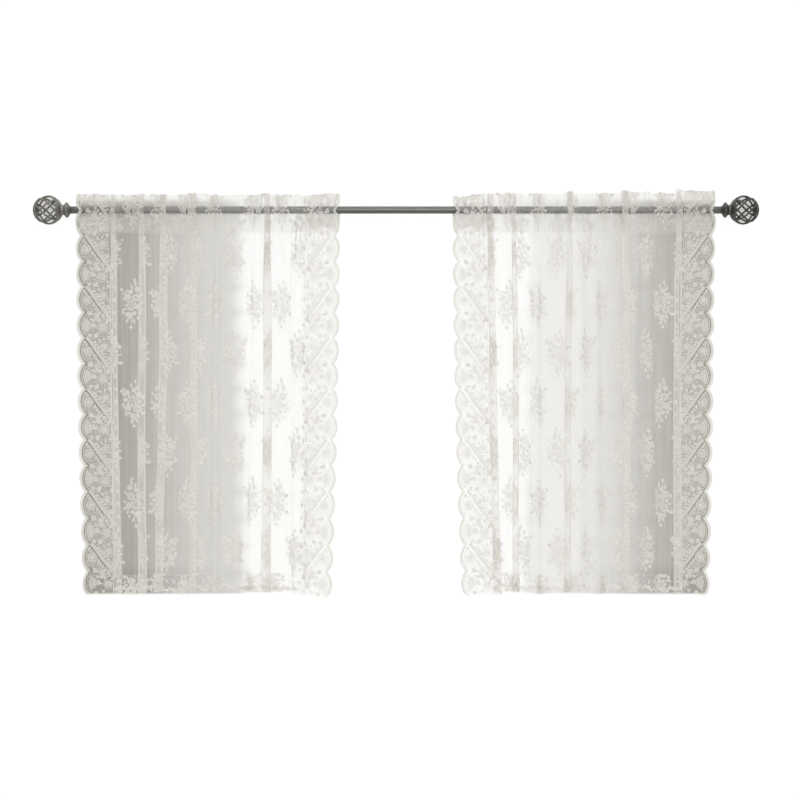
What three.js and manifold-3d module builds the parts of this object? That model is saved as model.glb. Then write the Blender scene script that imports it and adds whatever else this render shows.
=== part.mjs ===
// Cafe curtain pair on a rod.
// Two sheer lace panels, each with scalloped lace borders down both sides, hang by
// their rod pockets from one round metal rod. A ball of crossing spiral bars closes
// each end of the rod.
//
// Millimetres. +X to the right along the rod, +Y towards the wall, +Z up.
// The origin is on the rod's axis, half way along the rod.

import * as THREE from 'three';
import { mergeVertices } from 'three/addons/utils/BufferGeometryUtils.js';
import Module from 'manifold-3d';

// ---------------------------------------------------------------- dimensions

// The rod: a plain round steel tube.
const ROD = { radius: 8.25, wall: 1, halfLength: 733, sides: 24 };

// A finial: a spigot inside the rod, a turned collar, a cup, spiral bars, an end cap.
const FINIAL = {
  gap: 0.3, //             between the rod's end and the collar's face
  spigotRadius: 6.5,
  spigotLength: 14,
  collarRadius: 17.6,
  neckRadius: 11.4,
  ballRadius: 33.5,
  ballCentre: 783, //      from the middle of the rod
  shell: 3, //             thickness of the cup and of the end cap
  cupEdge: 47, //          degrees from the axis, measured at the ball's centre
  capEdge: 38,
  bars: 6, //              in each direction
  barRadius: 2.2,
  barSides: 4,
  barTwist: 0.93, //       turn for each unit of stretched latitude
  barPhase: 0.11, //       turn of the first bar, towards the floor at the front
  sides: 16,
};

// The cloth of one panel.
const CLOTH = {
  width: 840, //           flat, tip to tip of the scallops
  thickness: 2,
  hemThickness: 3.2, //    the turned-up foot has two layers
  hem: 45,
  foot: -862, //           level of the foot at the middle of a panel
  cornerDrop: 10, //       how much lower the borders hang
  border: 79, //           width of the lace border
};

// The head of one panel: a ruffle above the rod, and a pocket round it.
const HEAD = {
  ruffleTop: 34, //        level of the ruffle's edge
  ruffleFoot: 14, //       level of the seam on top of the rod
  pocketFoot: -54, //      level of the seam under the pocket
  flapEnd: -50, //         the turned-down layer stops just above that seam
  layer: 1.9, //           from the middle of the head to each of its two layers
  round: 11.3, //          from the rod's axis to the middle of the cloth
  borderTight: 0.93, //    length along the rod for each length of cloth in the borders
  pleat: 11, //            cloth in one flank of a pleat
};

// Scallops down both side edges.
const SCALLOP = { pitch: 57.4, depth: 11, facets: 4 };

// Where the panels hang: their side edges at the rod and at the foot, and how the
// ruffle's edge rises from left to right.
const PANELS = {
  panel_left: {
    left: { rod: -720, foot: -704 },
    right: { rod: -126, foot: -145 },
    ruffleRise: 1,
    wave: 0.4,
  },
  panel_right: {
    left: { rod: 127.5, foot: 148.5 },
    right: { rod: 718, foot: 706 },
    ruffleRise: 8,
    wave: 2.1,
  },
};

// The main folds. atRod and atFoot are where the middle of a fold stands along the rod,
// shareAtRod and shareAtFoot are its parts of the panel's fullness there. A fold of kind
// doubled is cloth laid back on itself: its later layer lies to the wall where side is
// 1, and to the room where side is -1. A fold of kind ridge stands out as an even ridge,
// to the room where side is 1, and to the wall where it is -1.
const FOLDS = {
  panel_left: [
    { kind: 'doubled', side: -1, atRod: -636, atFoot: -627, shareAtRod: 0.13, shareAtFoot: 0.15 },
    { kind: 'doubled', side: 1, atRod: -572, atFoot: -570, shareAtRod: 0.16, shareAtFoot: 0.18 },
    { kind: 'doubled', side: -1, atRod: -521, atFoot: -532, shareAtRod: 0.17, shareAtFoot: 0.14 },
    { kind: 'doubled', side: 1, atRod: -455, atFoot: -457, shareAtRod: 0.18, shareAtFoot: 0.14 },
    { kind: 'ridge', side: 1, atRod: -402, atFoot: -409, shareAtRod: 0.05, shareAtFoot: 0.06 },
    { kind: 'ridge', side: -1, atRod: -329, atFoot: -343, shareAtRod: 0.04, shareAtFoot: 0.07 },
    { kind: 'doubled', side: -1, atRod: -289, atFoot: -292, shareAtRod: 0.16, shareAtFoot: 0.17 },
    { kind: 'ridge', side: 1, atRod: -219, atFoot: -220, shareAtRod: 0.11, shareAtFoot: 0.09 },
  ],
  panel_right: [
    { kind: 'doubled', side: 1, atRod: 210, atFoot: 230, shareAtRod: 0.15, shareAtFoot: 0.14 },
    { kind: 'doubled', side: -1, atRod: 267, atFoot: 272, shareAtRod: 0.11, shareAtFoot: 0.12 },
    { kind: 'ridge', side: 1, atRod: 315, atFoot: 310, shareAtRod: 0.07, shareAtFoot: 0.08 },
    { kind: 'doubled', side: 1, atRod: 392, atFoot: 385, shareAtRod: 0.13, shareAtFoot: 0.11 },
    { kind: 'ridge', side: 1, atRod: 437, atFoot: 444, shareAtRod: 0.11, shareAtFoot: 0.14 },
    { kind: 'doubled', side: -1, atRod: 517, atFoot: 519, shareAtRod: 0.17, shareAtFoot: 0.15 },
    { kind: 'ridge', side: 1, atRod: 560, atFoot: 564, shareAtRod: 0.11, shareAtFoot: 0.11 },
    { kind: 'doubled', side: 1, atRod: 634, atFoot: 634, shareAtRod: 0.15, shareAtFoot: 0.15 },
  ],
};

// The two kinds of fold: how far the cloth turns from the rod's direction in degrees,
// how much of a doubled fold's cloth each of its two turns takes, and where the cloth
// is faceted, as fractions of the fold's cloth.
const KINDS = {
  doubled: { turn: 168, ends: 0.32, facets: [0, 0.16, 0.32, 0.68, 0.84, 1] },
  ridge: { turn: 88, ends: 0.5, facets: [0, 0.25, 0.5, 0.75, 1] },
};

// The courses of the cloth from the foot up the front, over the ruffle's edge and
// down the back. level is the height, layer is the distance before (-) or behind (+)
// the head's middle, gathered runs from 0, hanging in the main folds, to 1, drawn up
// in the small pleats of the head, and round is 1 where the pleats lie outside the
// rod. hem, when given, is measured up from the foot instead of level.
const COURSES = [
  { hem: 0, layer: 0, gathered: 0, round: 0, thick: 'hem' },
  { hem: CLOTH.hem, layer: 0, gathered: 0, round: 0, thick: 'hem' },
  { hem: CLOTH.hem + 5, layer: 0, gathered: 0, round: 0, thick: 'cloth' },
  { level: -600, layer: 0, gathered: 0, round: 0, thick: 'cloth' },
  { level: -330, layer: 0, gathered: 0, round: 0, thick: 'cloth' },
  { level: -190, layer: 0, gathered: 0.05, round: 0, thick: 'cloth' },
  { level: -142, layer: 0, gathered: 0.25, round: 0, thick: 'cloth' },
  { level: -106, layer: -0.3, gathered: 0.5, round: 0, thick: 'cloth' },
  { level: -78, layer: -0.7, gathered: 0.78, round: 0, thick: 'cloth' },
  { level: HEAD.pocketFoot, layer: -1, gathered: 1, round: 0, thick: 'cloth' },
  { level: 0, layer: -5.95, gathered: 1, round: 1, thick: 'cloth' },
  { level: 8.1, layer: -4.26, gathered: 1, round: 1, thick: 'cloth' },
  { level: HEAD.ruffleFoot, layer: -1, gathered: 1, round: 0, thick: 'cloth' },
  { ruffle: -2, layer: -1, gathered: 1, round: 0, thick: 'cloth' },
  { ruffle: 0, layer: 0, gathered: 1, round: 0, thick: 'cloth' },
  { ruffle: -2, layer: 1, gathered: 1, round: 0, thick: 'cloth' },
  { level: HEAD.ruffleFoot, layer: 1, gathered: 1, round: 0, thick: 'cloth' },
  { level: 8.1, layer: 4.26, gathered: 1, round: 1, thick: 'cloth' },
  { level: 0, layer: 5.95, gathered: 1, round: 1, thick: 'cloth' },
  { level: HEAD.flapEnd, layer: 1, gathered: 1, round: 0, thick: 'cloth' },
];

const COLOURS = {
  panel_left: { color: 0xe9e6dc, roughness: 0.9, metalness: 0 },
  panel_right: { color: 0xe9e6dc, roughness: 0.9, metalness: 0 },
  rod: { color: 0x4a4a47, roughness: 0.42, metalness: 0.85 },
  finial_left: { color: 0x4a4a47, roughness: 0.42, metalness: 0.85 },
  finial_right: { color: 0x2e2e2a, roughness: 0.42, metalness: 0.85 },
};

// ---------------------------------------------------------------- small helpers

const mix = (a, b, t) => a + (b - a) * t;
const TURN = 2 * Math.PI;

// ---------------------------------------------------------------- solids and joins

const manifold = await Module();
manifold.setup();

// Merges a closed geometry's shared points, drops its empty triangles, and turns its
// faces outwards, ready for a join.
function toSolid(geometry) {
  const bare = geometry.clone();
  bare.deleteAttribute('normal');
  bare.deleteAttribute('uv');
  const merged = mergeVertices(bare, 1e-4);
  const index = merged.index.array;
  const p = merged.attributes.position.array;
  const tris = [];
  let volume = 0;
  for (let i = 0; i < index.length; i += 3) {
    const [a, b, c] = [index[i], index[i + 1], index[i + 2]];
    if (a === b || b === c || c === a) continue;
    tris.push(a, b, c);
    const A = new THREE.Vector3().fromArray(p, 3 * a);
    const B = new THREE.Vector3().fromArray(p, 3 * b);
    const C = new THREE.Vector3().fromArray(p, 3 * c);
    volume += A.dot(B.cross(C)) / 6;
  }
  if (volume < 0) {
    for (let i = 0; i < tris.length; i += 3) [tris[i + 1], tris[i + 2]] = [tris[i + 2], tris[i + 1]];
  }
  return new manifold.Manifold(
    new manifold.Mesh({
      numProp: 3,
      vertProperties: Float32Array.from(p),
      triVerts: Uint32Array.from(tris),
    }),
  );
}

function toGeometry(solid) {
  const mesh = solid.getMesh();
  const geometry = new THREE.BufferGeometry();
  geometry.setAttribute('position', new THREE.BufferAttribute(Float32Array.from(mesh.vertProperties), 3));
  geometry.setIndex(new THREE.BufferAttribute(Uint32Array.from(mesh.triVerts), 1));
  geometry.computeVertexNormals();
  return geometry;
}

// ---------------------------------------------------------------- rod

// A tube: the wall's section closes on itself, and its axis is turned onto X.
function rodGeometry() {
  const { radius, wall, halfLength, sides } = ROD;
  const section = [
    [radius - wall, -halfLength],
    [radius, -halfLength],
    [radius, halfLength],
    [radius - wall, halfLength],
    [radius - wall, -halfLength],
  ].map(([r, along]) => new THREE.Vector2(r, along));
  const geometry = new THREE.LatheGeometry(section, sides);
  geometry.rotateZ(-Math.PI / 2);
  return toGeometry(toSolid(geometry));
}

// ---------------------------------------------------------------- finials

// A finial points along +X from the rod's end. Its turned part is one profile: spigot,
// collar, neck and the outside and inside of the cup.
function finialGeometry(direction) {
  const f = FINIAL;
  const face = ROD.halfLength + f.gap;
  const centre = f.ballCentre;
  const rad = (degrees) => (degrees * Math.PI) / 180;
  const onBall = (radius, degreesFromNeck) => [
    radius * Math.sin(rad(degreesFromNeck)),
    centre - radius * Math.cos(rad(degreesFromNeck)),
  ];
  const inner = f.ballRadius - f.shell;

  const turned = [
    [0, face - f.spigotLength],
    [f.spigotRadius, face - f.spigotLength],
    [f.spigotRadius, face],
    [9.3, face],
    [f.collarRadius - 0.8, face + 5.4],
    [f.collarRadius, face + 7.4],
    [f.collarRadius - 0.8, face + 9.4],
    [f.neckRadius, face + 14],
    onBall(f.ballRadius, 21),
    onBall(f.ballRadius, 34),
    onBall(f.ballRadius, f.cupEdge),
    onBall(inner, f.cupEdge),
    onBall(inner, 30),
    onBall(inner, 14),
    [0, centre - inner],
  ];
  const cap = [
    [0, centre + f.ballRadius],
    onBall(f.ballRadius, 180 - 14),
    onBall(f.ballRadius, 180 - 32),
    onBall(f.ballRadius, 180 - f.capEdge),
    onBall(inner, 180 - f.capEdge),
    onBall(inner, 180 - 26),
    [0, centre + inner],
  ];
  const lathe = (profile) => {
    const geometry = new THREE.LatheGeometry(profile.map(([r, x]) => new THREE.Vector2(r, x)), f.sides);
    geometry.rotateZ(-Math.PI / 2);
    return toSolid(geometry);
  };

  // One bar climbs from inside the cup to inside the cap at a constant slope.
  const section = new THREE.Shape();
  for (let k = 0; k < f.barSides; k++) {
    const a = (TURN * k) / f.barSides;
    const [x, y] = [f.barRadius * Math.cos(a), f.barRadius * Math.sin(a)];
    if (k === 0) section.moveTo(x, y);
    else section.lineTo(x, y);
  }
  section.closePath();
  const stretched = (latitude) => Math.log(Math.tan(Math.PI / 4 + latitude / 2));
  const from = rad(f.cupEdge - 4 - 90);
  const to = rad(90 - f.capEdge + 4);
  const start = stretched(rad(-39));
  const bar = (longitude, hand) => {
    const points = [];
    const radius = f.ballRadius - f.barRadius;
    for (let k = 0; k <= 8; k++) {
      const latitude = mix(from, to, k / 8);
      const turn = longitude + hand * f.barTwist * (stretched(latitude) - start);
      points.push(
        new THREE.Vector3(
          centre + radius * Math.sin(latitude),
          -radius * Math.cos(latitude) * Math.cos(turn),
          radius * Math.cos(latitude) * Math.sin(turn),
        ),
      );
    }
    const path = new THREE.CatmullRomCurve3(points);
    return toSolid(new THREE.ExtrudeGeometry(section, { steps: 9, extrudePath: path, bevelEnabled: false }));
  };

  let solid = lathe(turned).add(lathe(cap));
  for (let k = 0; k < f.bars; k++) {
    const longitude = (TURN * k) / f.bars - f.barPhase * direction;
    solid = solid.add(bar(longitude, 1)).add(bar(longitude, -1));
  }
  const geometry = toGeometry(solid);
  if (direction < 0) geometry.rotateZ(Math.PI);
  return geometry;
}

// ---------------------------------------------------------------- cloth

// The bend of the cloth inside a fold, as an angle from the rod's direction, at the
// fraction t of the fold's cloth.
function bend(fold, t) {
  const { turn, ends } = KINDS[fold.kind];
  const most = (turn * Math.PI) / 180;
  if (fold.kind === 'ridge') return -fold.side * most * Math.sin(TURN * t);
  const s = Math.min(1, Math.min(t, 1 - t) / ends);
  return fold.side * most * s * s * (3 - 2 * s);
}

// How far along the rod a fold's cloth reaches, as a fraction of its length. A doubled
// fold ends to the left of where it begins, so there it is below 0.
function reach(fold) {
  const steps = 48;
  let sum = 0;
  for (let k = 0; k < steps; k++) sum += Math.cos(bend(fold, (k + 0.5) / steps));
  return sum / steps;
}

// The stations across a panel: the side edges, the middle of each border, and the ends
// and facets of every fold.
function stations(folds) {
  const list = [{ kind: 'edge', side: 'left' }, { kind: 'border', side: 'left' }];
  folds.forEach((fold, i) => KINDS[fold.kind].facets.forEach((t) => list.push({ kind: 'fold', fold: i, t })));
  list.push({ kind: 'border', side: 'right' }, { kind: 'edge', side: 'right' });
  return list;
}

// One level of a panel that hangs in its main folds: u, the place in the flat cloth,
// and x and y, the place in the room, for each station.
function hanging(name, columns, level) {
  const panel = PANELS[name];
  const folds = FOLDS[name];
  const down = Math.min(1, Math.max(0, level / CLOTH.foot));
  const lean = down * down;
  const left = mix(panel.left.rod, panel.left.foot, lean);
  const right = mix(panel.right.rod, panel.right.foot, lean);
  const fullness = CLOTH.width - (right - left);

  // Start of each fold along the rod and in the flat cloth, and its length of cloth.
  let u = 0;
  let x = left;
  const laid = folds.map((fold) => {
    const taken = mix(fold.shareAtRod, fold.shareAtFoot, down) * fullness;
    const cloth = taken / (1 - reach(fold));
    const begin = mix(fold.atRod, fold.atFoot, down) - (cloth - taken) / 2;
    u += begin - x;
    const start = u;
    u += cloth;
    x = begin + cloth - taken;
    return { fold, cloth, start, begin };
  });

  const points = [];
  let depth = 0;
  columns.forEach((station) => {
    if (station.kind === 'edge') {
      points.push(station.side === 'left' ? { u: 0, x: left, y: 0 } : { u: CLOTH.width, x: right, y: depth });
    } else if (station.kind === 'border') {
      const inset = 38;
      points.push(
        station.side === 'left'
          ? { u: inset, x: left + inset, y: 0 }
          : { u: CLOTH.width - inset, x: right - inset, y: depth },
      );
    } else {
      const { fold, cloth, start, begin } = laid[station.fold];
      const steps = 100;
      let [across, out] = [0, 0];
      for (let k = 0; k < Math.round(steps * station.t); k++) {
        const angle = bend(fold, (k + 0.5) / steps);
        across += (Math.cos(angle) * cloth) / steps;
        out += (Math.sin(angle) * cloth) / steps;
      }
      points.push({ u: start + cloth * station.t, x: begin + across, y: depth + out });
      if (station.t === 1) depth += out;
    }
  });

  // The panel as a whole hangs straight under the rod.
  const last = points[points.length - 1].y;
  points.forEach((point) => (point.y -= (last * point.u) / CLOTH.width));
  const mean = points.reduce((sum, point) => sum + point.y, 0) / points.length;
  points.forEach((point) => (point.y -= mean));
  return points;
}

// The head: the same stations drawn up in small pleats, each one turning back towards
// the rod. The stiffer borders are drawn up less than the sheer between them.
function drawnUp(name, columns) {
  const panel = PANELS[name];
  const flat = hanging(name, columns, HEAD.pocketFoot);
  const [left, right] = [panel.left.rod, panel.right.rod];
  const { width, border } = CLOTH;
  const sheer = (right - left - 2 * border * HEAD.borderTight) / (width - 2 * border);
  const tightAt = (u) => (u < border || u > width - border ? HEAD.borderTight : sheer);
  const reached = (u) =>
    left +
    HEAD.borderTight * Math.min(u, border) +
    sheer * Math.min(Math.max(u - border, 0), width - 2 * border) +
    HEAD.borderTight * Math.max(u - (width - border), 0);
  let y = 0;
  let low = 0;
  let high = 0;
  const points = flat.map((point, j) => {
    if (j > 0) {
      const cloth = point.u - flat[j - 1].u;
      const tight = tightAt((point.u + flat[j - 1].u) / 2);
      const step = Math.min(cloth, HEAD.pleat) * Math.sqrt(1 - tight * tight);
      y += y > 0 ? -step : step;
      low = Math.min(low, y);
      high = Math.max(high, y);
    }
    return { u: point.u, x: reached(point.u), y };
  });
  points.forEach((point) => (point.y -= (low + high) / 2));
  return { points, swing: (high - low) / 2 };
}

// A level between the two: every stretch from one station to the next has a length and
// a direction in each state, and both are blended, so that the folds open towards the
// head without touching.
function blended(hung, drawn, gathered) {
  if (gathered === 0) return hung;
  if (gathered === 1) return drawn;
  const points = [{ ...hung[0], x: 0, y: 0 }];
  for (let j = 1; j < hung.length; j++) {
    const [length, angle] = [hung, drawn].reduce(
      (sum, state, k) => {
        const [dx, dy] = [state[j].x - state[j - 1].x, state[j].y - state[j - 1].y];
        const weight = k === 0 ? 1 - gathered : gathered;
        return [sum[0] + weight * Math.hypot(dx, dy), sum[1] + weight * Math.atan2(dy, dx)];
      },
      [0, 0],
    );
    const before = points[j - 1];
    points.push({ u: hung[j].u, x: before.x + length * Math.cos(angle), y: before.y + length * Math.sin(angle) });
  }
  const last = points[points.length - 1];
  const [fromX, toX] = [mix(hung[0].x, drawn[0].x, gathered), mix(hung.at(-1).x, drawn.at(-1).x, gathered)];
  const [spanX, driftY] = [last.x, last.y];
  points.forEach((point) => {
    point.y -= (driftY * point.u) / CLOTH.width;
    point.x = mix(fromX, toX, point.x / spanX);
  });
  const mean = points.reduce((sum, point) => sum + point.y, 0) / points.length;
  points.forEach((point) => (point.y -= mean));
  return points;
}

// The uneven line of a hem or ruffle edge.
const uneven = (u, phase) => 1.6 * Math.sin(TURN * (u / 210) + phase) + 1.1 * Math.sin(TURN * (u / 96) + 2.7 * phase);

// The middle surface of one panel, course by course.
function panelCourses(name) {
  const panel = PANELS[name];
  const columns = stations(FOLDS[name]);
  const head = drawnUp(name, columns);
  return COURSES.map((course) => {
    const foot = (u) => {
      const fromSide = Math.min(u, CLOTH.width - u) / (CLOTH.border * 1.5);
      const drop = CLOTH.cornerDrop * Math.max(0, 1 - fromSide) ** 1.5;
      return CLOTH.foot - drop + uneven(u, panel.wave);
    };
    const top = (u) => HEAD.ruffleTop + (panel.ruffleRise * u) / CLOTH.width + uneven(u, panel.wave + 1.3);
    const level = course.level ?? (course.hem !== undefined ? CLOTH.foot + course.hem : HEAD.ruffleTop);
    const body = hanging(name, columns, level);
    const points = blended(body, head.points, course.gathered).map((point) => {
      const { u } = point;
      const outside = Math.sign(course.layer) * course.round * head.swing;
      const y = point.y + course.layer * HEAD.layer + outside;
      let z = course.level;
      if (course.hem !== undefined) z = foot(u) + course.hem;
      else if (course.ruffle !== undefined) z = top(u) + course.ruffle;
      return new THREE.Vector3(point.x, y, z);
    });
    return { points, u: body.map((point) => point.u), half: (course.thick === 'hem' ? CLOTH.hemThickness : CLOTH.thickness) / 2 };
  });
}

// The closed solid of one panel. The grid of courses and stations covers the panel
// from border to border, and down each side a strip of fans reaches out to the
// scalloped edge. Every point is then doubled to both faces of the cloth.
function panelGeometry(name) {
  const courses = panelCourses(name);
  const rows = courses.length;
  const count = courses[0].points.length;

  // Length up the cloth at every course, measured at the first station.
  const height = [0];
  for (let r = 1; r < rows; r++) {
    height.push(height[r - 1] + courses[r].points[0].distanceTo(courses[r - 1].points[0]));
  }

  const points = []; // { at, across, along, half } with the surface's two directions
  const sample = (r, j) => courses[Math.min(rows - 1, Math.max(0, r))].points[Math.min(count - 1, Math.max(0, j))];
  const across = (r, j) => sample(r, j + 1).clone().sub(sample(r, j - 1));
  const along = (r, j) => sample(r + 1, j).clone().sub(sample(r - 1, j));
  const put = (at, acrossDir, alongDir, half) => {
    const normal = acrossDir.clone().normalize().cross(alongDir.clone().normalize()).normalize();
    points.push({ at, normal, half });
    return points.length - 1;
  };

  const grid = courses.map((course, r) =>
    course.points.map((at, j) => (j === 0 || j === count - 1 ? -1 : put(at, across(r, j), along(r, j), course.half))),
  );

  const triangles = [];
  for (let r = 0; r + 1 < rows; r++) {
    for (let j = 1; j + 2 < count; j++) {
      const [a, b, c, d] = [grid[r][j], grid[r][j + 1], grid[r + 1][j + 1], grid[r + 1][j]];
      if ((r + j) % 2) triangles.push([a, b, c], [a, c, d]);
      else triangles.push([a, b, d], [b, c, d]);
    }
  }

  // One side of the panel, outside the grid: a straight line of points just inside the
  // notches, one to a scallop, and the scalloped edge itself. In the head both also have
  // a point at every course, to turn with it over the rod and over the ruffle's edge.
  const last = height[rows - 1];
  const headStart = COURSES.findIndex((course) => course.level === HEAD.pocketFoot);
  const headCourses = height.filter((h, r) => r < 3 || r >= headStart);
  const heightsEvery = (step) => {
    const list = [...headCourses];
    for (let h = 0; h < last; h += step) if (list.every((other) => Math.abs(other - h) > 2.5)) list.push(h);
    return list.sort((p, q) => p - q);
  };
  const radius = ((SCALLOP.pitch / 2) ** 2 + SCALLOP.depth ** 2) / (2 * SCALLOP.depth);
  const scalloped = (h) => {
    const fromTip = (((h / SCALLOP.pitch) % 1) - 0.5) * SCALLOP.pitch;
    return radius - Math.sqrt(radius ** 2 - fromTip ** 2);
  };
  const edgeStrip = (outer, inner) => {
    const side = Math.sign(inner - outer);
    const line = (heights, insetAt) =>
      heights.map((h) => {
        let r = 0;
        while (r + 2 < rows && height[r + 1] < h) r++;
        const f = (h - height[r]) / (height[r + 1] - height[r]);
        const clothHere = Math.abs(courses[r].u[inner] - courses[r].u[outer]);
        const share = insetAt(h) / clothHere;
        const a = sample(r, outer).clone().lerp(sample(r, inner), share);
        const b = sample(r + 1, outer).clone().lerp(sample(r + 1, inner), share);
        const near = f < 0.5 ? r : r + 1;
        const exact = f < 1e-6 ? r : f > 1 - 1e-6 ? r + 1 : -1;
        const acrossDir = sample(near, inner).clone().sub(sample(near, outer)).multiplyScalar(side);
        const alongDir = exact >= 0 ? along(exact, outer) : sample(r + 1, outer).clone().sub(sample(r, outer));
        const half = mix(courses[r].half, courses[r + 1].half, f);
        return { h, id: put(a.lerp(b, f), acrossDir, alongDir, half) };
      });
    const edge = line(heightsEvery(SCALLOP.pitch / SCALLOP.facets), scalloped);
    const notches = line(heightsEvery(SCALLOP.pitch), () => SCALLOP.depth + 4);
    const grain = height.map((h, r) => ({ h, id: grid[r][inner] }));
    const fans = (outside, inside) => {
      let [e, r] = [0, 0];
      while (e + 1 < outside.length || r + 1 < inside.length) {
        const stepOut = r + 1 >= inside.length || (e + 1 < outside.length && outside[e + 1].h <= inside[r + 1].h);
        const [p, q] = [outside[e].id, inside[r].id];
        const next = stepOut ? outside[e + 1].id : inside[r + 1].id;
        triangles.push(side > 0 ? [p, q, next] : [q, p, next]);
        if (stepOut) e++;
        else r++;
      }
    };
    fans(edge, notches);
    fans(notches, grain);
  };
  edgeStrip(0, 1);
  edgeStrip(count - 1, count - 2);

  // Both faces, and the rim that joins them round every free edge.
  const position = [];
  points.forEach(({ at, normal, half }) => position.push(...at.clone().addScaledVector(normal, half).toArray()));
  points.forEach(({ at, normal, half }) => position.push(...at.clone().addScaledVector(normal, -half).toArray()));
  const n = points.length;
  const index = [];
  const edges = new Map();
  triangles.forEach(([a, b, c]) => {
    index.push(a, b, c, a + n, c + n, b + n);
    [[a, b], [b, c], [c, a]].forEach(([p, q]) => {
      if (edges.has(`${q},${p}`)) edges.delete(`${q},${p}`);
      else edges.set(`${p},${q}`, [p, q]);
    });
  });
  edges.forEach(([p, q]) => index.push(q, p, p + n, q, p + n, q + n));

  const geometry = new THREE.BufferGeometry();
  geometry.setAttribute('position', new THREE.Float32BufferAttribute(position, 3));
  geometry.setIndex(index);
  geometry.computeVertexNormals();
  return geometry;
}

// ---------------------------------------------------------------- the set

const part = new THREE.Group();
part.name = 'cafe_curtain_pair_on_rod';

const add = (name, geometry) => {
  const mesh = new THREE.Mesh(geometry, new THREE.MeshStandardMaterial(COLOURS[name]));
  mesh.name = name;
  part.add(mesh);
};

add('panel_left', panelGeometry('panel_left'));
add('panel_right', panelGeometry('panel_right'));
add('rod', rodGeometry());
add('finial_left', finialGeometry(-1));
add('finial_right', finialGeometry(1));

export default part;
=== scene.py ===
import math

import bpy
import numpy as np
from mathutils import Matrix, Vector


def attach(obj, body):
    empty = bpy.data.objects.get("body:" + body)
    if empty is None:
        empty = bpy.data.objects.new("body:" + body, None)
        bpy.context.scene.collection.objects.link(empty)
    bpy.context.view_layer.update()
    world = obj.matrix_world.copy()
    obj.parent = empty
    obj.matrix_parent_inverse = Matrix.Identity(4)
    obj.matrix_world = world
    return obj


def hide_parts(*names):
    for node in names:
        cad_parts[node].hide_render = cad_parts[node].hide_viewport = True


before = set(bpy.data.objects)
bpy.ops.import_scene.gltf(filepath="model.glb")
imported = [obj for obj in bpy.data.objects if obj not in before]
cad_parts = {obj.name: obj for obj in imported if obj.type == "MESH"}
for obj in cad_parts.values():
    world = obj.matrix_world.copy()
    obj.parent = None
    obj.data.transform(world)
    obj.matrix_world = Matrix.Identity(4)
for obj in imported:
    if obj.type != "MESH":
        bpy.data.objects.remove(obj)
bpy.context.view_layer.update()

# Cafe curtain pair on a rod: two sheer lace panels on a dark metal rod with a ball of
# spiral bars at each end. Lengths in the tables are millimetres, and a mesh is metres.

MM = 0.001
TURN = 2 * math.pi
scene = bpy.context.scene

# ------------------------------------------------------------------ sizes, as in the CAD

WIDTH = 840.0  # flat cloth, tip to tip of the scallops
BORDER = 79.0
PITCH, DEPTH = 57.4, 11.0  # scallops
ARC = ((PITCH / 2) ** 2 + DEPTH**2) / (2 * DEPTH)  # radius of a scallop's edge
SLANT = math.radians(-54.2)  # of the ribbons in the border
REPEAT = 2 * PITCH  # of the border's pattern
FOOT, DROP, HEM = -862.0, 10.0, 45.0
RUFFLE_TOP, RUFFLE_FOOT, POCKET_FOOT, FLAP_END = 34.0, 14.0, -54.0, -50.5
ROD_RADIUS, ROD_HALF = 8.25, 733.0
CLEAR = 9.9  # from the rod's axis to the innermost cloth
LAYER = 0.9

PANELS = {
    "panel_left": dict(left=(-720, -704), right=(-126, -145), rise=1, wave=0.4, seed=5),
    "panel_right": dict(left=(127.5, 148.5), right=(718, 706), rise=8, wave=2.1, seed=11),
}
# kind, side, middle at the rod, middle at the foot, share of the fullness at the rod, at the foot
FOLDS = {
    "panel_left": [
        ("doubled", -1, -636, -627, 0.13, 0.15),
        ("doubled", 1, -572, -570, 0.16, 0.18),
        ("doubled", -1, -521, -532, 0.17, 0.14),
        ("doubled", 1, -455, -457, 0.18, 0.14),
        ("ridge", 1, -402, -409, 0.05, 0.06),
        ("ridge", -1, -329, -343, 0.04, 0.07),
        ("doubled", -1, -289, -292, 0.16, 0.17),
        ("ridge", 1, -219, -220, 0.11, 0.09),
    ],
    "panel_right": [
        ("doubled", 1, 210, 230, 0.15, 0.14),
        ("doubled", -1, 267, 272, 0.11, 0.12),
        ("ridge", 1, 315, 310, 0.07, 0.08),
        ("doubled", 1, 392, 385, 0.13, 0.11),
        ("ridge", 1, 437, 444, 0.11, 0.14),
        ("doubled", -1, 517, 519, 0.17, 0.15),
        ("ridge", 1, 560, 564, 0.11, 0.11),
        ("doubled", 1, 634, 634, 0.15, 0.15),
    ],
}
TURNS = {"doubled": (math.radians(168), 0.32), "ridge": (math.radians(68), 0.5)}


def mix(a, b, t):
    return a + (b - a) * t


def smooth(t):
    t = np.clip(t, 0.0, 1.0)
    return t * t * (3 - 2 * t)


# ------------------------------------------------------------------ the hanging cloth


def bend(kind, side, t):
    """The cloth's angle from the rod's direction at the fraction t of a fold's cloth."""
    most, ends = TURNS[kind]
    if kind == "ridge":
        return -side * most * np.sin(TURN * t)
    return side * most * smooth(np.minimum(t, 1 - t) / ends)


REACH = {
    kind: float(np.mean(np.cos(bend(kind, 1, (np.arange(400) + 0.5) / 400))))
    for kind in TURNS
}


def uneven(u, phase):
    return 1.6 * np.sin(TURN * u / 210 + phase) + 1.1 * np.sin(TURN * u / 96 + 2.7 * phase)


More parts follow.
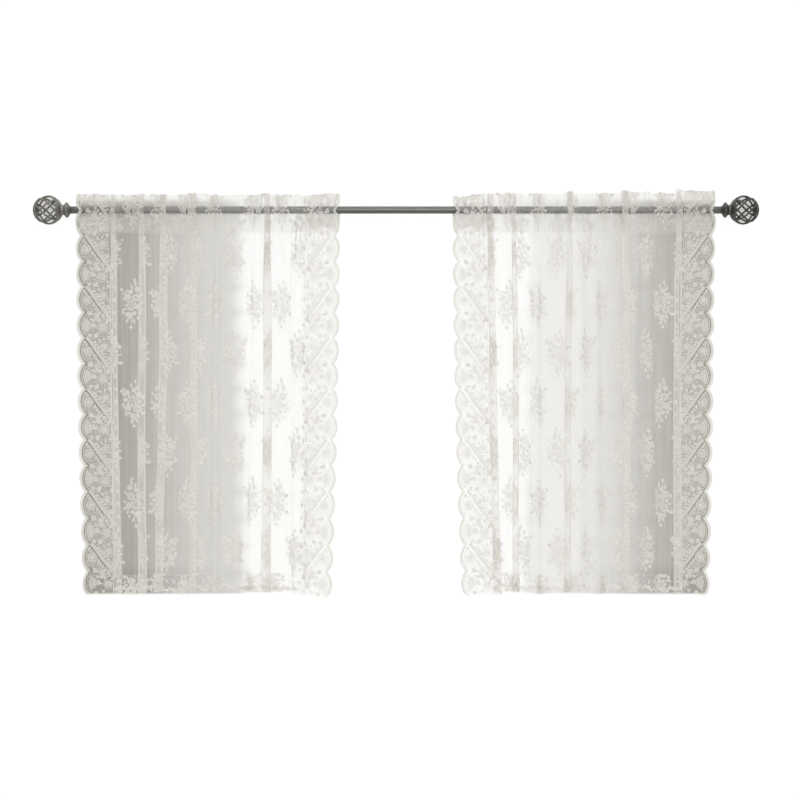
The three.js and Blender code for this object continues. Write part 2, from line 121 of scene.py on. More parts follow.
class Panel:
    """One panel as a surface: at(u, v) is the place in the room of the point u across
    and v up the flat cloth, with v past the ruffle's edge running down the back."""

    STEP = 0.5

    def __init__(self, name):
        self.name, self.p, self.folds = name, PANELS[name], FOLDS[name]
        self.rng = np.random.default_rng(self.p["seed"])
        self.u = np.arange(0, WIDTH + self.STEP / 2, self.STEP)
        self.mid = (self.u[1:] + self.u[:-1]) / 2
        self.pleats()
        self.courses()

    # Where the folds lie at one level: u and x of the start of each, its cloth, and
    # the middles of the plain stretches between them.
    def laid(self, z):
        down = min(1.0, max(0.0, z / FOOT))
        lean = down * down
        left, right = mix(*self.p["left"], lean), mix(*self.p["right"], lean)
        fullness = WIDTH - (right - left)
        u, x, out = 0.0, left, []
        breaks = [(0.0, left)]
        for k, (kind, side, rod, foot, share_rod, share_foot) in enumerate(self.folds):
            taken = mix(share_rod, share_foot, down) * fullness
            cloth = taken / (1 - REACH[kind])
            sway = 1.6 * math.sin(z / 160 + 1.7 * k + self.p["wave"]) * smooth(-z / 300)
            begin = mix(rod, foot, down) + float(sway) - (cloth - taken) / 2
            if k:
                breaks.append((u + (begin - x) / 2, x + (begin - x) / 2))
            u += begin - x
            out.append((kind, side, u, cloth))
            u += cloth
            x = begin + cloth - taken
        breaks.append((WIDTH, right))
        return out, breaks

    # The small pleats that the rod draws up: a wide one at each main fold, and uneven
    # ones between them.
    def pleats(self):
        out, _ = self.laid(-40)
        cuts = [0.0]
        for kind, side, start, cloth in out:
            middle, wide = start + cloth / 2, 31.0 if kind == "doubled" else 24.0
            cuts += [middle - wide / 2, middle + wide / 2]
        cuts.append(WIDTH)
        self.cells = []
        for k, (a, b) in enumerate(zip(cuts[:-1], cuts[1:])):
            if b <= a + 1:
                continue
            if k % 2:
                self.cells.append((a, b, 0.25))
                continue
            many = max(1, int(round((b - a) / 15.5)))
            parts = self.rng.uniform(0.62, 1.38, many)
            edges = a + (b - a) * np.concatenate([[0], np.cumsum(parts) / parts.sum()])
            for c, d in zip(edges[:-1], edges[1:]):
                self.cells.append((c, d, self.rng.uniform(0.55, 1.15)))
        self.draw = np.zeros_like(self.mid)
        for k, (a, b, strength) in enumerate(self.cells):
            inside = (self.mid >= a) & (self.mid < b)
            t = (self.mid[inside] - a) / (b - a)
            skew = 0.08 * self.rng.uniform(-1, 1)
            t = t + skew * np.sin(TURN * t) / math.pi
            self.draw[inside] = -strength * np.sin(TURN * t)
        edge = np.minimum(self.mid, WIDTH - self.mid)
        self.draw *= mix(0.55, 1.0, smooth((edge - BORDER + 12) / 24))

    # One level: x and y of every point of u. In the head the folds keep only a part of
    # their cloth, and the rod draws up the rest in the small pleats. y is then measured
    # from the layer that lies on the rod, so that every fold stands away from it.
    def level(self, z):
        hung = float(smooth((-z + POCKET_FOOT + 6) / 118))
        out, breaks = self.laid(z)
        theta = np.zeros_like(self.mid)
        for kind, side, start, cloth in out:
            kept = mix(0.74 if kind == "doubled" else 0.55, 1.0, hung) * cloth
            begin = start + (cloth - kept) / 2
            inside = (self.mid >= begin) & (self.mid < begin + kept)
            theta[inside] = bend(kind, side, (self.mid[inside] - begin) / kept)
        ub, xb = np.array(breaks).T
        seg = np.clip(np.searchsorted(ub, self.mid) - 1, 0, len(ub) - 2)
        spans = xb[1:] - xb[:-1]
        low, high = np.zeros(len(spans)), np.full(len(spans), 2.1)
        for _ in range(30):
            a = (low + high) / 2
            got = np.bincount(seg, np.cos(theta + a[seg] * self.draw), len(spans)) * self.STEP
            long = got > spans
            low, high = np.where(long, a, low), np.where(long, high, a)
        a = (low + high) / 2
        wide = int(34 / self.STEP)
        kernel = np.hanning(wide + 2)[1:-1]
        spread = np.convolve(np.pad(a[seg], wide // 2, mode="edge"), kernel / kernel.sum(), "same")
        spread = spread[wide // 2 : wide // 2 + len(self.mid)]
        if hung > 0.999:
            spread = spread * 0
        angle = theta + spread * self.draw
        x = np.concatenate([[0], np.cumsum(np.cos(angle))]) * self.STEP
        y = np.concatenate([[0], np.cumsum(np.sin(angle))]) * self.STEP
        x = x + np.interp(self.u, ub, xb - np.interp(ub, self.u, x))
        free = y - y[-1] * self.u / WIDTH
        free = free - free.mean()
        tied = y - np.interp(self.u, ub, np.interp(ub, self.u, y))
        reach = int(26 / self.STEP)
        padded = np.pad(tied, reach, mode="edge")
        top = np.max(np.lib.stride_tricks.sliding_window_view(padded, 2 * reach + 1), axis=1)
        kernel = np.hanning(2 * reach + 3)[1:-1]
        top = np.convolve(np.pad(top, reach, mode="edge"), kernel / kernel.sum(), "valid")
        tied = np.minimum(tied - top, 0)
        return x, mix(tied, free, hung), hung

    def courses(self):
        # The path of the cloth in the rod's cross-section: y, z, how much of the pleats'
        # depth shows, and on which side.
        path = []
        front = np.concatenate([
            np.linspace(FOOT, FOOT + HEM + 5, 11)[:-1],
            np.linspace(FOOT + HEM + 5, POCKET_FOOT - 4, 150),
        ])
        for z in front:
            path.append((mix(0, -LAYER, smooth((z + 130) / 70)), z, 1.0))
        path.append((-LAYER, POCKET_FOOT, 1.0))
        path.append((-LAYER - 0.15, POCKET_FOOT + 3, 1.0))
        # out to the rod, round it, and back in to the seam on top
        for t in np.linspace(0, 1, 10)[1:]:
            path.append((mix(-LAYER - 0.2, -CLEAR, smooth(t * 0.93)) , mix(POCKET_FOOT + 3, -8, t), 1.0))
        for a in np.linspace(-24, 66, 9):
            r = math.radians(a)
            path.append((-CLEAR * math.cos(r), CLEAR * math.sin(r), 1.0))
        for t in (0.35, 0.7, 1.0):
            r = math.radians(66)
            path.append((mix(-CLEAR * math.cos(r), -LAYER, smooth(t)), mix(CLEAR * math.sin(r), RUFFLE_FOOT, t), mix(1.0, 0.72, t)))
        for t in np.linspace(0, 1, 8)[1:]:
            path.append((-LAYER - 0.9 * math.sin(math.pi * t * 0.9), mix(RUFFLE_FOOT, RUFFLE_TOP - LAYER, t), mix(0.72, 1.12, t)))
        for a in (45, 90, 135):
            r = math.radians(a)
            path.append((-LAYER * math.cos(r), RUFFLE_TOP - LAYER + LAYER * math.sin(r), 1.12))
        for t in np.linspace(0, 1, 8):
            path.append((LAYER - 0.9 * math.sin(math.pi * (1 - t) * 0.9), mix(RUFFLE_TOP - LAYER, RUFFLE_FOOT, t), mix(1.12, 0.72, t)))
        for t in (0.3, 0.65, 1.0):
            r = math.radians(66)
            path.append((mix(LAYER, CLEAR * math.cos(r), smooth(t)), mix(RUFFLE_FOOT, CLEAR * math.sin(r), t), mix(0.72, -1.0, smooth(t))))
        for a in np.linspace(66, -24, 9)[1:]:
            r = math.radians(a)
            path.append((CLEAR * math.cos(r), CLEAR * math.sin(r), -1.0))
        for t in np.linspace(0, 1, 10)[1:]:
            path.append((mix(CLEAR, LAYER, smooth(t)), mix(-4, FLAP_END, t), mix(-1.0, 1.0, smooth((t - 0.35) / 0.65))))
        path = np.array(path)
        gap = np.hypot(*(path[1:, :2] - path[:-1, :2]).T)
        self.v = np.concatenate([[0], np.cumsum(gap)])
        self.length = float(self.v[-1])
        self.top_v = float(self.v[int(np.argmax(path[:, 1]))])
        top_row = int(np.argmax(path[:, 1]))
        n = len(path)
        self.X, self.Y, self.Z = (np.zeros((n, len(self.u))) for _ in range(3))
        from_side = np.minimum(self.u, WIDTH - self.u) / (BORDER * 1.5)
        foot = -DROP * np.maximum(0, 1 - from_side) ** 1.5 + uneven(self.u, self.p["wave"])
        ripple = np.interp(self.u, [(a + b) / 2 for a, b, _ in self.cells], [self.rng.uniform(-2.0, 2.2) for _ in self.cells])
        for kind, side, start, cloth in self.laid(0)[0]:
            if kind == "doubled":
                ripple = ripple + 2.6 * np.exp(-(((self.u - start - cloth / 2) / 21) ** 2))
        top = self.p["rise"] * self.u / WIDTH + uneven(self.u, self.p["wave"] + 1.3) + ripple
        cache = {}
        for r, (y0, z, show) in enumerate(path):
            key = round(min(z, POCKET_FOOT + 12), 3)
            if key not in cache:
                cache[key] = self.level(key)
            x, y, folded = cache[key]
            # slow waves of the plain cloth between the folds
            wave = 1.5 * np.sin(self.u / 31 + z / 210 + self.p["wave"]) + 1.1 * np.sin(self.u / 17.3 - z / 140 + 2)
            wave *= folded * (1 - 0.4 * smooth((z - FOOT) / 90))
            at_rod = 1 - folded
            # in the head every pleat starts from the layer and stands away from the rod
            pleat = mix(y, y * show, at_rod)
            self.X[r] = x
            self.Y[r] = y0 + pleat + wave
            self.Z[r] = z
            hung = 1 - smooth((z - (FOOT + 50)) / 250)
            raised = smooth((z - RUFFLE_FOOT) / (RUFFLE_TOP - RUFFLE_FOOT))
            self.Z[r] += foot * hung + top * raised
            # the ruffle leans, spreads and frills a little, pleat by pleat
            self.X[r] += raised * 1.3 * np.sin(self.u / 13.7 + self.p["wave"] * 3)
            frill = 2.6 * np.sin(self.u / 4.6 + 1.6 * np.sin(self.u / 37 + self.p["wave"]))
            self.Y[r] += raised * frill
            self.Z[r] += raised * 0.9 * np.sin(self.u / 3.9 + 2 * np.sin(self.u / 29))
        self.dv = np.diff(self.v)

    def at(self, u, v):
        u = np.clip(np.asarray(u, float), 0, WIDTH)
        v = np.clip(np.asarray(v, float), 0, self.length)
        r = np.clip(np.searchsorted(self.v, v, side="right") - 1, 0, len(self.v) - 2)
        f = ((v - self.v[r]) / self.dv[r])[..., None]
        c = np.clip((u / self.STEP).astype(int), 0, len(self.u) - 2)
        g = (u / self.STEP - c)[..., None]

        def pick(i, j):
            return np.stack([self.X[i, j], self.Y[i, j], self.Z[i, j]], -1)

        return (pick(r, c) * (1 - g) + pick(r, c + 1) * g) * (1 - f) + (
            pick(r + 1, c) * (1 - g) + pick(r + 1, c + 1) * g
        ) * f

    def normal(self, u, v):
        a = self.at(np.minimum(u + 0.8, WIDTH), v) - self.at(np.maximum(u - 0.8, 0), v)
        b = self.at(u, np.minimum(v + 2.0, self.length)) - self.at(u, np.maximum(v - 2.0, 0))
        n = np.cross(a, b)
        return n / np.maximum(np.linalg.norm(n, axis=-1, keepdims=True), 1e-9)

    def place(self, points):
        """Points (u, v, height over the cloth's face) in the room, in metres. v is below
        0 in the hem's turned-up layer, which lies behind the cloth."""
        u, v, h = points.T
        h = np.where(v < 0, -1.15 - h, h)
        v = np.abs(v)
        return (self.at(u, v) + self.normal(u, v) * h[:, None]) * MM


def inset(v):
    """How far the scalloped edge lies inside the tips at height v."""
    t = (np.mod(v / PITCH, 1.0) - 0.5) * PITCH
    return ARC - np.sqrt(ARC**2 - t**2)


# ------------------------------------------------------------------ meshes


def new_mesh(name, points, faces, material, uv=None, shade=True):
    """points (n, 3) in metres, faces (m, 3 or 4). uv (n, 2) goes with the points."""
    points, faces = np.asarray(points, np.float32), np.asarray(faces, np.int32)
    mesh = bpy.data.meshes.new(name)
    k = faces.shape[1]
    mesh.vertices.add(len(points))
    mesh.vertices.foreach_set("co", points.ravel())
    mesh.loops.add(faces.size)
    mesh.loops.foreach_set("vertex_index", faces.ravel())
    mesh.polygons.add(len(faces))
    mesh.polygons.foreach_set("loop_start", np.arange(0, faces.size, k, dtype=np.int32))
    mesh.polygons.foreach_set("loop_total", np.full(len(faces), k, np.int32))
    if uv is not None:
        layer = mesh.uv_layers.new(name="OFBake")
        layer.data.foreach_set("uv", np.asarray(uv, np.float32)[faces.ravel()].ravel())
    mesh.update(calc_edges=True)
    mesh.validate()
    mesh.polygons.foreach_set("use_smooth", np.full(len(mesh.polygons), shade))
    mesh.materials.append(material)
    obj = bpy.data.objects.new(name, mesh)
    scene.collection.objects.link(obj)
    return obj


# ------------------------------------------------------------------ materials


def nodes_of(name):
    material = bpy.data.materials.new(name)
    material.use_nodes = True
    tree = material.node_tree
    tree.nodes.clear()
    return material, tree


def math_node(tree, op, a, b=None, c=None):
    node = tree.nodes.new("ShaderNodeMath")
    node.operation = op
    for k, value in enumerate((a, b, c)):
        if value is None:
            continue
        if isinstance(value, (int, float)):
            node.inputs[k].default_value = value
        else:
            tree.links.new(value, node.inputs[k])
    return node.outputs[0]


NET = 1.75  # mm from one hole of the net to the next
UV_SCALE = 1100.0  # mm of cloth in the whole of the map


def cloth_coordinates(tree):
    uv = tree.nodes.new("ShaderNodeUVMap")
    uv.uv_map = "OFBake"
    split = tree.nodes.new("ShaderNodeSeparateXYZ")
    tree.links.new(uv.outputs[0], split.inputs[0])
    return (
        math_node(tree, "MULTIPLY", split.outputs[0], UV_SCALE),
        math_node(tree, "MULTIPLY", split.outputs[1], UV_SCALE),
    )


def net_field(tree, u, v):
    """From -1.5 on the threads of a six-sided net to 3 in the middle of its holes."""
    k = TURN / NET
    a = math_node(tree, "COSINE", math_node(tree, "MULTIPLY", u, k))
    p = math_node(tree, "MULTIPLY", u, k * 0.5)
    q = math_node(tree, "MULTIPLY", v, k * 0.8660254)
    b = math_node(tree, "COSINE", math_node(tree, "ADD", p, q))
    c = math_node(tree, "COSINE", math_node(tree, "SUBTRACT", p, q))
    return math_node(tree, "ADD", math_node(tree, "ADD", a, b), c)


def net_cover(threshold):
    """The share of the net that is thread where the field is under threshold."""
    x, y = np.meshgrid(np.linspace(0, 2 * NET, 400), np.linspace(0, 2 * NET / 0.8660254 / 1.0, 400))
    k = TURN / NET
    f = np.cos(k * x) + np.cos(k * (x / 2 + y * 0.8660254)) + np.cos(k * (x / 2 - y * 0.8660254))
    return float((f < threshold).mean())


def thread_shader(tree, colour, translucent, rough, bump=None, sheen=0.25):
    """Cotton-like thread: matt, a little sheen, and some light through it."""
    base = tree.nodes.new("ShaderNodeBsdfPrincipled")
    base.inputs["Roughness"].default_value = rough
    base.inputs["Specular IOR Level"].default_value = 0.25
    base.inputs["Sheen Weight"].default_value = sheen
    base.inputs["Sheen Roughness"].default_value = 0.5
    through = tree.nodes.new("ShaderNodeBsdfTranslucent")
    both = tree.nodes.new("ShaderNodeMixShader")
    both.inputs[0].default_value = translucent
    tree.links.new(base.outputs[0], both.inputs[1])
    tree.links.new(through.outputs[0], both.inputs[2])
    for socket in (base.inputs["Base Color"], through.inputs["Color"]):
        if isinstance(colour, tuple):
            socket.default_value = colour
        else:
            tree.links.new(colour, socket)
    if bump is not None:
        for node in (base, through):
            tree.links.new(bump, node.inputs["Normal"])
    return both, base


def cloth_colour(tree, u, v, light, dark, scale=0.016):
    """Slightly uneven ivory, as undyed lace has, cloudy over some centimetres."""
    join = tree.nodes.new("ShaderNodeCombineXYZ")
    tree.links.new(u, join.inputs[0])
    tree.links.new(v, join.inputs[1])
    noise = tree.nodes.new("ShaderNodeTexNoise")
    noise.inputs["Scale"].default_value = scale
    noise.inputs["Detail"].default_value = 3
    tree.links.new(join.outputs[0], noise.inputs["Vector"])
    ramp = tree.nodes.new("ShaderNodeMix")
    ramp.data_type = "RGBA"
    ramp.inputs[6].default_value = dark
    ramp.inputs[7].default_value = light
    tree.links.new(noise.outputs[0], ramp.inputs[0])
    return ramp.outputs[2]


IVORY = (0.92, 0.912, 0.885, 1)
IVORY_SHADE = (0.875, 0.866, 0.835, 1)


def lace_net(name, threshold, border=True, translucent=0.38, light=IVORY, sheen=0.25):
    """The knitted ground: threads round six-sided holes, slightly uneven."""
    material, tree = nodes_of(name)
    u, v = cloth_coordinates(tree)
    field = net_field(tree, u, v)
    # the knitting is tighter in one rib than in the next, as fine upright lines
    streak = tree.nodes.new("ShaderNodeTexNoise")
    streak.inputs["Scale"].default_value = 1.0
    streak.inputs["Detail"].default_value = 3
    drawn = tree.nodes.new("ShaderNodeCombineXYZ")
    tree.links.new(math_node(tree, "MULTIPLY", u, 0.14), drawn.inputs[0])
    tree.links.new(math_node(tree, "MULTIPLY", v, 0.0035), drawn.inputs[1])
    tree.links.new(drawn.outputs[0], streak.inputs["Vector"])
    rib = math_node(tree, "SUBTRACT", streak.outputs[0], 0.5)
    edge = math_node(tree, "MULTIPLY_ADD", rib, 0.7, threshold)
    if border:
        # an open line follows each scallop, between its edge band and the lace inside
        s = math_node(tree, "MINIMUM", u, math_node(tree, "SUBTRACT", WIDTH, u))
        wrapped = math_node(tree, "FRACT", math_node(tree, "DIVIDE", v, PITCH))
        t = math_node(tree, "MULTIPLY", math_node(tree, "SUBTRACT", wrapped, 0.5), PITCH)
        ds = math_node(tree, "SUBTRACT", s, ARC)
        r2 = math_node(tree, "ADD", math_node(tree, "MULTIPLY", ds, ds), math_node(tree, "MULTIPLY", t, t))
        r = math_node(tree, "SQRT", r2)
        outer = math_node(tree, "LESS_THAN", s, ARC - 8)
        lace = math_node(tree, "LESS_THAN", s, 79.0)
        # between the motifs: small close patches with open lines round them
        cell = tree.nodes.new("ShaderNodeTexVoronoi")
        cell.feature = "DISTANCE_TO_EDGE"
        cell.voronoi_dimensions = "2D"
        cell.inputs["Scale"].default_value = 1.0
        sited = tree.nodes.new("ShaderNodeCombineXYZ")
        tree.links.new(math_node(tree, "MULTIPLY", s, 1 / 5.8), sited.inputs[0])
        tree.links.new(math_node(tree, "MULTIPLY", v, 1 / 5.8), sited.inputs[1])
        tree.links.new(sited.outputs[0], cell.inputs["Vector"])
        close = math_node(tree, "MULTIPLY_ADD", cell.outputs["Distance"], 8.0, -0.58)
        close = math_node(tree, "MINIMUM", close, 0.92)
        hem = math_node(tree, "MULTIPLY", math_node(tree, "LESS_THAN", v, 44.0), 0.75)
        head = math_node(tree, "MULTIPLY", math_node(tree, "COMPARE", v, 862.0, 19.0), 0.95)
        lace = math_node(tree, "MAXIMUM", lace, math_node(tree, "MAXIMUM", hem, head))
        edge = math_node(tree, "ADD", edge, math_node(tree, "MULTIPLY", lace, close))
        edge = math_node(tree, "MULTIPLY_ADD", math_node(tree, "ADD", hem, head), -0.6, edge)
        # the open line round each scallop, and the one under each slanting ribbon
        ring = math_node(tree, "MULTIPLY", math_node(tree, "COMPARE", r, ARC - 7.8, 1.35), outer)
        slant = math_node(tree, "MULTIPLY_ADD", s, -math.tan(SLANT), v)
        swing = math_node(tree, "SINE", math_node(tree, "MULTIPLY", s, 0.16))
        slant = math_node(tree, "MULTIPLY_ADD", swing, 1.5, slant)
        slant = math_node(tree, "SUBTRACT", slant, -17 * math.tan(SLANT))
        slant = math_node(tree, "FRACT", math_node(tree, "MULTIPLY_ADD", slant, 1 / REPEAT, 20.5))
        line = math_node(tree, "COMPARE", slant, 0.5, 2.4 / REPEAT)
        line = math_node(tree, "MULTIPLY", line, math_node(tree, "COMPARE", s, 37.0, 16.0))
        inner = math_node(tree, "COMPARE", s, 78.5, 1.1)
        open_line = math_node(tree, "MAXIMUM", math_node(tree, "MAXIMUM", ring, line), inner)
        edge = math_node(tree, "MULTIPLY_ADD", open_line, -1.3, edge)
        band = math_node(tree, "GREATER_THAN", r, ARC - 6.2)
        band = math_node(tree, "MULTIPLY", band, outer)
        edge = math_node(tree, "MULTIPLY_ADD", band, 0.9, edge)
    gap = math_node(tree, "SUBTRACT", edge, field)
    alpha = math_node(tree, "MULTIPLY_ADD", gap, 2.2, 0.5)
    alpha.node.use_clamp = True
    colour = cloth_colour(tree, u, v, light, IVORY_SHADE)
    both, _ = thread_shader(tree, colour, translucent, 0.85, sheen=sheen)
    clear = tree.nodes.new("ShaderNodeBsdfTransparent")
    out = tree.nodes.new("ShaderNodeOutputMaterial")
    blend = tree.nodes.new("ShaderNodeMixShader")
    tree.links.new(alpha, blend.inputs[0])
    tree.links.new(clear.outputs[0], blend.inputs[1])
    tree.links.new(both.outputs[0], blend.inputs[2])
    tree.links.new(blend.outputs[0], out.inputs[0])
    return material


def lace_solid(name, light, dark, translucent, thread):
    """Worked lace: dense stitches lying side by side, thread mm from one to the next."""
    material, tree = nodes_of(name)
    u, v = cloth_coordinates(tree)
    colour = cloth_colour(tree, u, v, light, dark, 0.09)
    a = math_node(tree, "SINE", math_node(tree, "MULTIPLY", math_node(tree, "ADD", u, math_node(tree, "MULTIPLY", v, 0.45)), TURN / thread))
    b = math_node(tree, "SINE", math_node(tree, "MULTIPLY", math_node(tree, "SUBTRACT", v, math_node(tree, "MULTIPLY", u, 0.3)), TURN / (thread * 1.6)))
    height = math_node(tree, "MULTIPLY_ADD", b, 0.5, a)
    bump = tree.nodes.new("ShaderNodeBump")
    bump.inputs["Strength"].default_value = 0.5
    bump.inputs["Distance"].default_value = 0.00018
    tree.links.new(height, bump.inputs["Height"])
    both, _ = thread_shader(tree, colour, translucent, 0.8, bump.outputs[0])
    out = tree.nodes.new("ShaderNodeOutputMaterial")
    tree.links.new(both.outputs[0], out.inputs[0])
    return material


NET_LEVEL = -0.97
NETTING = lace_net("lace_net", NET_LEVEL)
HEM_NET = lace_net("lace_net_hem", NET_LEVEL - 0.35, border=False)
# the folds' second layer of net is a lighter ivory than the rest: a painted highlight along each fold's edge
FOLD_NET_PAINTED_HIGHLIGHT = lace_net("lace_net_folded_painted_highlight", 1.3, border=False, light=(0.97, 0.965, 0.94, 1), sheen=0.8)
FILLING = lace_net("lace_filling", 0.3, border=False)
CORDING = lace_solid("lace_cording", (0.95, 0.94, 0.912, 1), (0.88, 0.868, 0.832, 1), 0.38, 0.55)


# ------------------------------------------------------------------ lace drawing

class Drawing:
    """Points (u, v, height) and triangles of worked lace, in the flat cloth."""

    def __init__(self):
        self.points, self.faces, self.count = [], [], 0

    def add(self, points, faces):
        points, faces = np.asarray(points, float), np.asarray(faces, int)
        self.points.append(points)
        self.faces.append(faces + self.count)
        self.count += len(points)

    def arrays(self):
        return np.concatenate(self.points), np.concatenate(self.faces)


def ribbon(into, path, width, base=0.28, rise=0.5, closed=False):
    """A raised cord along a path, widest at the cloth and rounded to its crest. Round a
    closed shape it is a rim instead, which rises to its outer edge."""
    path = np.asarray(path, float)
    n = len(path)
    tangent = np.roll(path, -1, 0) - np.roll(path, 1, 0) if closed else np.gradient(path, axis=0)
    tangent /= np.maximum(np.linalg.norm(tangent, axis=1, keepdims=True), 1e-9)
    side = np.stack([-tangent[:, 1], tangent[:, 0]], 1) * (np.broadcast_to(width, n)[:, None] / 2)
    low = np.full((n, 1), base)
    if closed:
        i = np.arange(n)
        j = (i + 1) % n
        into.add(
            np.concatenate([np.hstack([path + side, low]), np.hstack([path - side, low + 0.8 * rise])]),
            np.concatenate([np.stack([i, i + n, j + n], 1), np.stack([i, j + n, j], 1)]),
        )
        return
    points = np.concatenate(
        [np.hstack([path + side, low]), np.hstack([path, low + rise]), np.hstack([path - side, low])]
    )
    i = np.arange(n - 1)
    j = i + 1
    l, m, r = i, i + n, i + 2 * n
    L, M, R = j, j + n, j + 2 * n
    faces = np.concatenate([np.stack(t, 1) for t in ((l, m, M), (l, M, L), (m, r, R), (m, R, M))])
    into.add(points, faces)


def flat(into, outline, centre=None, base=0.16):
    """A filled shape: a fan from its centre to its outline."""
    outline = np.asarray(outline, float)
    n = len(outline)
    centre = outline.mean(0) if centre is None else np.asarray(centre, float)
    points = np.vstack([np.append(centre, base), np.hstack([outline, np.full((n, 1), base)])])
    i = np.arange(n)
    into.add(points, np.stack([np.zeros(n, int), 1 + i, 1 + (i + 1) % n], 1))


def strip(into, one, two, base=0.16):
    """Cloth between two lines of the same number of points, one on the left of two."""
    one, two = np.asarray(one, float), np.asarray(two, float)
    n = len(one)
    points = np.vstack([np.hstack([one, np.full((n, 1), base)]), np.hstack([two, np.full((n, 1), base)])])
    i = np.arange(n - 1)
    into.add(points, np.concatenate([np.stack([i, i + n, i + n + 1], 1), np.stack([i, i + n + 1, i + 1], 1)]))


def turned(shape, angle, at=(0, 0), scale=1.0, flip=1):
    c, s = math.cos(angle), math.sin(angle)
    shape = np.asarray(shape, float) * (scale, scale * flip)
    return shape @ np.array([[c, s], [-s, c]]) + np.asarray(at, float)


def petal_shape(length, width, n=5):
    """A round-ended petal from the origin along +x."""
    t = np.linspace(0.0, 1.0, n + 2)[1:-1]
    half = width / 2 * np.sin(np.pi * t**0.8) ** 0.7
    x = length * t
    upper = np.stack([x, half], 1)
    lower = np.stack([x, -half], 1)[::-1]
    return np.vstack([[(0, 0)], lower[::-1], [(length, 0)], upper[::-1]])


def leaf_shape(length, width, n=4):
    t = np.linspace(0.0, 1.0, n + 2)[1:-1]
    half = width / 2 * np.sin(np.pi * t**0.85)
    upper = np.stack([length * t, half], 1)
    lower = np.stack([length * t, -half], 1)
    return np.vstack([[(0, 0)], lower, [(length, 0)], upper[::-1]])


def petal(fills, cords, at, angle, length, width, cord=0.85, n=5):
    shape = turned(petal_shape(length, width, n), angle, at)
    flat(fills, shape)
    ribbon(cords, shape, cord, closed=True)


def leaf(fills, cords, at, angle, length, width, cord=0.85, vein=True):
    shape = turned(leaf_shape(length, width), angle, at)
    flat(fills, shape)
    ribbon(cords, shape, cord, closed=True)
    if vein:
        line = turned([(length * 0.12, 0), (length * 0.88, width * 0.03)], angle, at)
        ribbon(cords, line, 0.6)


def blossom(fills, cords, at, radius, petals, phase, cord=0.85):
    """A small open flower."""
    for k in range(petals):
        angle = phase + TURN * k / petals
        start = np.asarray(at, float) + 0.24 * radius * np.array([math.cos(angle), math.sin(angle)])
        petal(fills, cords, start, angle, radius * 0.76, radius * 1.3 * math.sin(math.pi / petals), cord, n=3)
    ring = turned([(math.cos(a), math.sin(a)) for a in np.linspace(0, TURN, 7)[:-1]], 0, at, radius * 0.15)
    flat(cords, ring, base=0.75)


def knot(cords, at, radius):
    """A worked dot."""
    ring = turned([(math.cos(a), math.sin(a)) for a in np.linspace(0, TURN, 8)[:-1]], 0, at, radius)
    flat(cords, ring, base=0.6)


def rose(fills, cords, at, radius, phase):
    """A full rose: crescent petals in two rounds, apart from each other, about a curl."""
    at = np.asarray(at, float)
    for inner, outer, many, shift in ((0.73, 1.0, 7, 0.0), (0.42, 0.63, 5, 0.5)):
        for k in range(many):
            middle = phase + TURN * (k + shift) / many
            half = math.pi / many * 0.86
            a = np.linspace(-1, 1, 6)
            swell = outer * (1 - 0.12 * a**4 + 0.02 * np.cos(a * 5 + k))
            rim = np.stack([swell * np.cos(middle + a * half), swell * np.sin(middle + a * half)], 1) * radius
            b = np.linspace(1, -1, 4)
            foot = np.stack([np.cos(middle + b * half * 0.78), np.sin(middle + b * half * 0.78)], 1) * (inner * radius)
            flat(fills, np.vstack([rim, foot]) + at)
            ribbon(cords, rim + at, 1.15)
            ribbon(cords, foot + at, 0.7)
    curl = [
        (radius * (0.04 + 0.026 * a) * math.cos(phase + a), radius * (0.04 + 0.026 * a) * math.sin(phase + a))
        for a in np.linspace(0, 9.4, 11)
    ]
    ribbon(cords, np.asarray(curl) + at, 0.95)


def stem(cords, points, width=0.9):
    """A smooth stem through three or more points."""
    points = np.asarray(points, float)
    t = np.linspace(0, 1, len(points))
    s = np.linspace(0, 1, 2 * len(points) + 2)
    fit = [np.polyfit(t, points[:, k], min(3, len(points) - 1)) for k in (0, 1)]
    ribbon(cords, np.stack([np.polyval(f, s) for f in fit], 1), width)


def bouquet_large():
    fills, cords = Drawing(), Drawing()
    rose(fills, cords, (-3, 5), 12.6, 0.3)
    rose(fills, cords, (9, -13), 9.0, 1.1)
    blossom(fills, cords, (-13, -11), 8.0, 5, 0.5)
    blossom(fills, cords, (13, 18), 8.2, 5, 1.3)
    blossom(fills, cords, (-13, 23), 7.2, 6, 0.9)
    blossom(fills, cords, (0, -30), 7.6, 5, 0.2)
    blossom(fills, cords, (1, 29), 5.4, 5, 0.6)
    blossom(fills, cords, (15, 3), 4.6, 5, 0.1)
    blossom(fills, cords, (-18, 7), 4.8, 5, 0.3)
    for x, y, angle, length, width in (
        (6, 28, 1.0, 13, 5.8), (-3, 33, 1.75, 12, 5.4), (19, 8, 0.9, 11, 5.2), (17, -5, 0.1, 9, 4.8),
        (17, -17, -1.1, 11, 5.2), (-20, 0, 4.1, 10, 5), (-15, -19, 4.6, 12, 5.4), (-6, -20, 4.0, 9, 4.8),
        (9, -23, 5.0, 12, 5.2), (-2, -37, 4.45, 11, 5), (6, -34, 5.0, 10, 4.8), (-19, 14, 2.1, 9, 4.6),
        (-8, -3, 3.9, 7, 3.8), (5, 19, 1.5, 8, 4.2), (-19, 28, 2.4, 8, 4.2),
    ):
        leaf(fills, cords, (x, y), angle, length, width, vein=length > 10.5)
    stem(cords, [(-3, 18), (1, 27), (5, 38), (5, 47)])
    stem(cords, [(-4, -8), (-6, -20), (-1, -34), (2, -50)])
    stem(cords, [(-15, 12), (-19, 20), (-25, 25)])
    stem(cords, [(16, -12), (22, -14), (25, -21)])
    for x, y in ((5, 49), (2, -52), (-26, 26), (26, -23), (23, 14)):
        blossom(fills, cords, (x, y), 3.6, 5, 0.4, 0.75)
    for x, y in ((-6, 42), (13, 31), (-11, -31), (10, -45), (-22, -9), (24, 3), (9, 42)):
        knot(cords, (x, y), 1.15)
    return fills.arrays(), cords.arrays()


